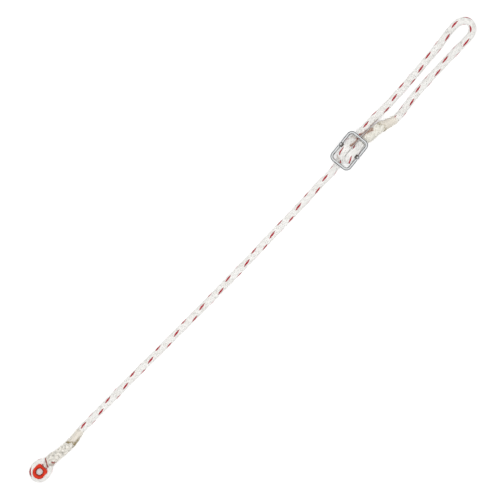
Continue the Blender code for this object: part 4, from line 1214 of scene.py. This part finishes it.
class LANYARD_OT_adjuster(bpy.types.Operator):
    """Bend the adjuster's frame, weld on its lugs, and finish its middle bar"""

    bl_idname = "lanyard.adjuster"
    bl_label = "Adjuster"

    def execute(self, context):
        fittings = context.scene.lanyard_fittings
        steel = polished_steel(fittings.steel, fittings.lug_shade)
        repaint("adjuster_middle_bar", steel)
        bm = bmesh.new()
        grime_and_shade = bm.verts.layers.float.new("grime_and_shade")
        self.ring(bm)
        bar = set(bm.verts)
        for side in (-1, 1):
            self.lug(bm, side)
        # The lugs are painted darker towards their inner ends, as shade from the ropes
        unshaded, dark = LUG_SHADE
        for vert in set(bm.verts) - bar:
            vert[grime_and_shade] = smooth_step((unshaded - abs(vert.co.y)) / (unshaded - dark))
        bmesh.ops.recalc_face_normals(bm, faces=bm.faces)
        height = Vector((0, 0, pivot_height(context.scene.lanyard_rope.diameter)))
        bmesh.ops.transform(bm, verts=bm.verts, matrix=Matrix.Translation(ADJUSTER_PLACE + height)
                            @ Matrix.Rotation(ADJUSTER_YAW, 4, "Z") @ Matrix.Rotation(-ADJUSTER_PITCH, 4, "Y"))
        mesh = bpy.data.meshes.new("adjuster_frame_bar")
        bm.to_mesh(mesh)
        bm.free()
        mesh.shade_smooth()
        mesh.set_sharp_from_angle(angle=math.radians(50))
        piece = link("adjuster_frame_bar", mesh, [steel])
        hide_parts("adjuster_frame")
        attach(piece, "adjuster")
        return {"FINISHED"}

    def ring(self, bm):
        """A quarter of the round bar, from a side rail's middle round a corner to an end bar's, and its mirror
        images."""
        across = Matrix.Translation((0, RAIL, 0)) @ Matrix.Rotation(math.pi / 2, 4, "Y")
        bmesh.ops.create_circle(bm, segments=BAR_SIDES, radius=BAR_R, matrix=across)
        edges = self.drawn(bm, bm.edges[:], (BAR_SPACING - FRAME_CORNER, 0, 0))
        geom = edges + list({vert for edge in edges for vert in edge.verts})
        bent = bmesh.ops.spin(bm, geom=geom, cent=(BAR_SPACING - FRAME_CORNER, RAIL - FRAME_CORNER, 0),
                              axis=(0, 0, -1), angle=math.pi / 2, steps=CORNER_CUTS)["geom_last"]
        self.drawn(bm, [part for part in bent if isinstance(part, bmesh.types.BMEdge)],
                   (0, FRAME_CORNER - RAIL, 0))
        for axis in ("X", "Y"):
            bmesh.ops.mirror(bm, geom=bm.verts[:] + bm.edges[:] + bm.faces[:], axis=axis, merge_dist=MERGE)

    def drawn(self, bm, edges, way):
        """Draws these edges out this way and returns the new ones."""
        made = bmesh.ops.extrude_edge_only(bm, edges=edges)["geom"]
        verts = {part for part in made if isinstance(part, bmesh.types.BMVert)}
        bmesh.ops.translate(bm, vec=way, verts=list(verts))
        return [part for part in made if isinstance(part, bmesh.types.BMEdge) and set(part.verts) <= verts]

    def lug(self, bm, side):
        """A turned lug on a side rail, tapering inwards along the middle bar."""
        verts = [bm.verts.new((0, side * distance, radius)) for distance, radius in LUG_OUTLINE]
        edges = [bm.edges.new(pair) for pair in zip(verts, verts[1:])]
        bmesh.ops.spin(bm, geom=verts + edges, cent=(0, 0, 0), axis=(0, 1, 0), angle=2 * math.pi,
                       steps=LUG_SIDES, use_merge=True)
        bmesh.ops.remove_doubles(bm, verts=bm.verts, dist=MERGE)


def repaint(name, finish):
    """Gives a CAD node that stays its finish."""
    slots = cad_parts[name].data.materials
    for i in range(len(slots)):
        slots[i] = finish


class LANYARD_OT_stage(bpy.types.Operator):
    """Set up the surface, the light and the camera"""

    bl_idname = "lanyard.stage"
    bl_label = "Stage"

    def execute(self, context):
        stage = context.scene.lanyard_stage
        bm = bmesh.new()
        bmesh.ops.create_grid(bm, x_segments=1, y_segments=1, size=FLOOR_HALF)
        mesh = bpy.data.meshes.new("surface")
        bm.to_mesh(mesh)
        bm.free()
        link("surface", mesh, [self.surface()])
        self.light(context, stage)
        data = bpy.data.cameras.new("camera")
        data.sensor_width = SENSOR
        data.lens = SENSOR * (stage.camera_height - ROPE_MIDDLE) / stage.view_width
        data.clip_end = 20.0
        camera = bpy.data.objects.new("camera", data)
        camera.location = (*VIEW_MIDDLE, stage.camera_height)
        camera.rotation_euler = (0, 0, stage.camera_turn)
        context.scene.collection.objects.link(camera)
        context.scene.camera = camera
        context.scene.view_settings.view_transform = "Standard"
        return {"FINISHED"}

    def surface(self):
        """Matt white paper, on which the object's shadow falls."""
        made, tree, shader = finish_of("white_paper")
        if tree is None:
            return made
        shader.inputs["Base Color"].default_value = (*linear("F2F2F2"), 1)
        shader.inputs["Roughness"].default_value = 0.9
        shader.inputs["Specular IOR Level"].default_value = 0.2
        rays = node(tree, "ShaderNodeLightPath").outputs
        seen = node(tree, "ShaderNodeMath", {0: rays["Is Camera Ray"], 1: rays["Is Glossy Ray"]},
                    operation="MAXIMUM").outputs["Value"]
        seen = node(tree, "ShaderNodeMath", {0: seen, 1: rays["Is Transmission Ray"]},
                    operation="MAXIMUM").outputs["Value"]
        # Enough light of its own to be white where nothing shades it
        glow = node(tree, "ShaderNodeMath", {0: seen, 1: 0.3}, operation="MULTIPLY").outputs["Value"]
        tree.links.new(glow, shader.inputs["Emission Strength"])
        shader.inputs["Emission Color"].default_value = (1, 1, 1, 1)
        return made

    def light(self, context, stage):
        """A large softbox overhead, and an even glow from all round. Polished metal mirrors a bright ceiling
        over dark walls, so its edges stand out."""
        world = bpy.data.worlds.new("studio")
        world.use_nodes = True
        tree = world.node_tree
        background = tree.nodes["Background"]
        way = node(tree, "ShaderNodeTexCoord").outputs["Generated"]
        # How far from straight overhead: 0 there and 1 at the horizon
        level = node(tree, "ShaderNodeMapping", {"Vector": way, "Scale": (1.0, 1.0, 0.0)}).outputs["Vector"]
        away = node(tree, "ShaderNodeVectorMath", {0: level}, operation="LENGTH").outputs["Value"]
        # The ceiling gives way to the walls between 41 and 48 degrees from overhead
        wall = node(tree, "ShaderNodeMapRange", {"Value": away, "From Min": 0.66,
                                                 "From Max": 0.74}).outputs["Result"]
        room = node(tree, "ShaderNodeMix", {"Factor": wall, "A": (1, 1, 1, 1), "B": (*linear("2D2D31"), 1)},
                    data_type="RGBA").outputs["Result"]
        mirrored = node(tree, "ShaderNodeLightPath").outputs["Is Glossy Ray"]
        shown = node(tree, "ShaderNodeMix", {"Factor": mirrored, "A": (1, 1, 1, 1), "B": room},
                     data_type="RGBA").outputs["Result"]
        tree.links.new(shown, background.inputs["Color"])
        strength = node(tree, "ShaderNodeMapRange", {"Value": mirrored, "To Min": stage.ambient, "To Max": 1.0})
        tree.links.new(strength.outputs["Result"], background.inputs["Strength"])
        context.scene.world = world
        lamp = bpy.data.lights.new("softbox", "AREA")
        lamp.shape = "SQUARE"
        lamp.size = LAMP_SIZE
        lamp.energy = stage.lamp_power
        softbox = bpy.data.objects.new("softbox", lamp)
        softbox.location = (0.0, 0.0, LAMP_HEIGHT)
        softbox.visible_camera = False
        softbox.visible_glossy = False
        context.scene.collection.objects.link(softbox)


class LANYARD_PT_panel(bpy.types.Panel):
    """The lanyard's sizes, and its pieces in the order in which they are made"""

    bl_label = "Safety rope lanyard"
    bl_space_type = "VIEW_3D"
    bl_region_type = "UI"
    bl_category = "Lanyard"

    def draw(self, context):
        for group in SETTINGS:
            settings = getattr(context.scene, group)
            box = self.layout.box()
            for name in settings.bl_rna.properties.keys():
                if name not in ("rna_type", "name"):
                    box.prop(settings, name)
        for operator in OPERATORS:
            self.layout.operator(operator.bl_idname)


SETTINGS = {
    "lanyard_rope": RopeSettings,
    "lanyard_splices": SpliceSettings,
    "lanyard_fittings": FittingSettings,
    "lanyard_stage": StageSettings,
}
OPERATORS = (
    LANYARD_OT_stage,
    LANYARD_OT_main_rope,
    LANYARD_OT_adjuster_rope,
    LANYARD_OT_loop,
    LANYARD_OT_thimble_eye,
    LANYARD_OT_splices,
    LANYARD_OT_sleeves,
    LANYARD_OT_adjuster,
)
CLASSES = (*SETTINGS.values(), *OPERATORS, LANYARD_PT_panel)


def register():
    for cls in CLASSES:
        bpy.utils.register_class(cls)
    for name, cls in SETTINGS.items():
        setattr(bpy.types.Scene, name, bpy.props.PointerProperty(type=cls))


def unregister():
    for name in SETTINGS:
        delattr(bpy.types.Scene, name)
    for cls in reversed(CLASSES):
        bpy.utils.unregister_class(cls)


def main():
    """Builds the dressed lanyard round the frame."""
    register()
    bpy.ops.lanyard.stage()
    bpy.ops.lanyard.main_rope()
    bpy.ops.lanyard.adjuster_rope()
    bpy.ops.lanyard.loop()
    bpy.ops.lanyard.thimble_eye()
    bpy.ops.lanyard.splices()
    bpy.ops.lanyard.sleeves()
    bpy.ops.lanyard.adjuster()
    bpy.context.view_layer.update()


if __name__ == "__main__":
    main()
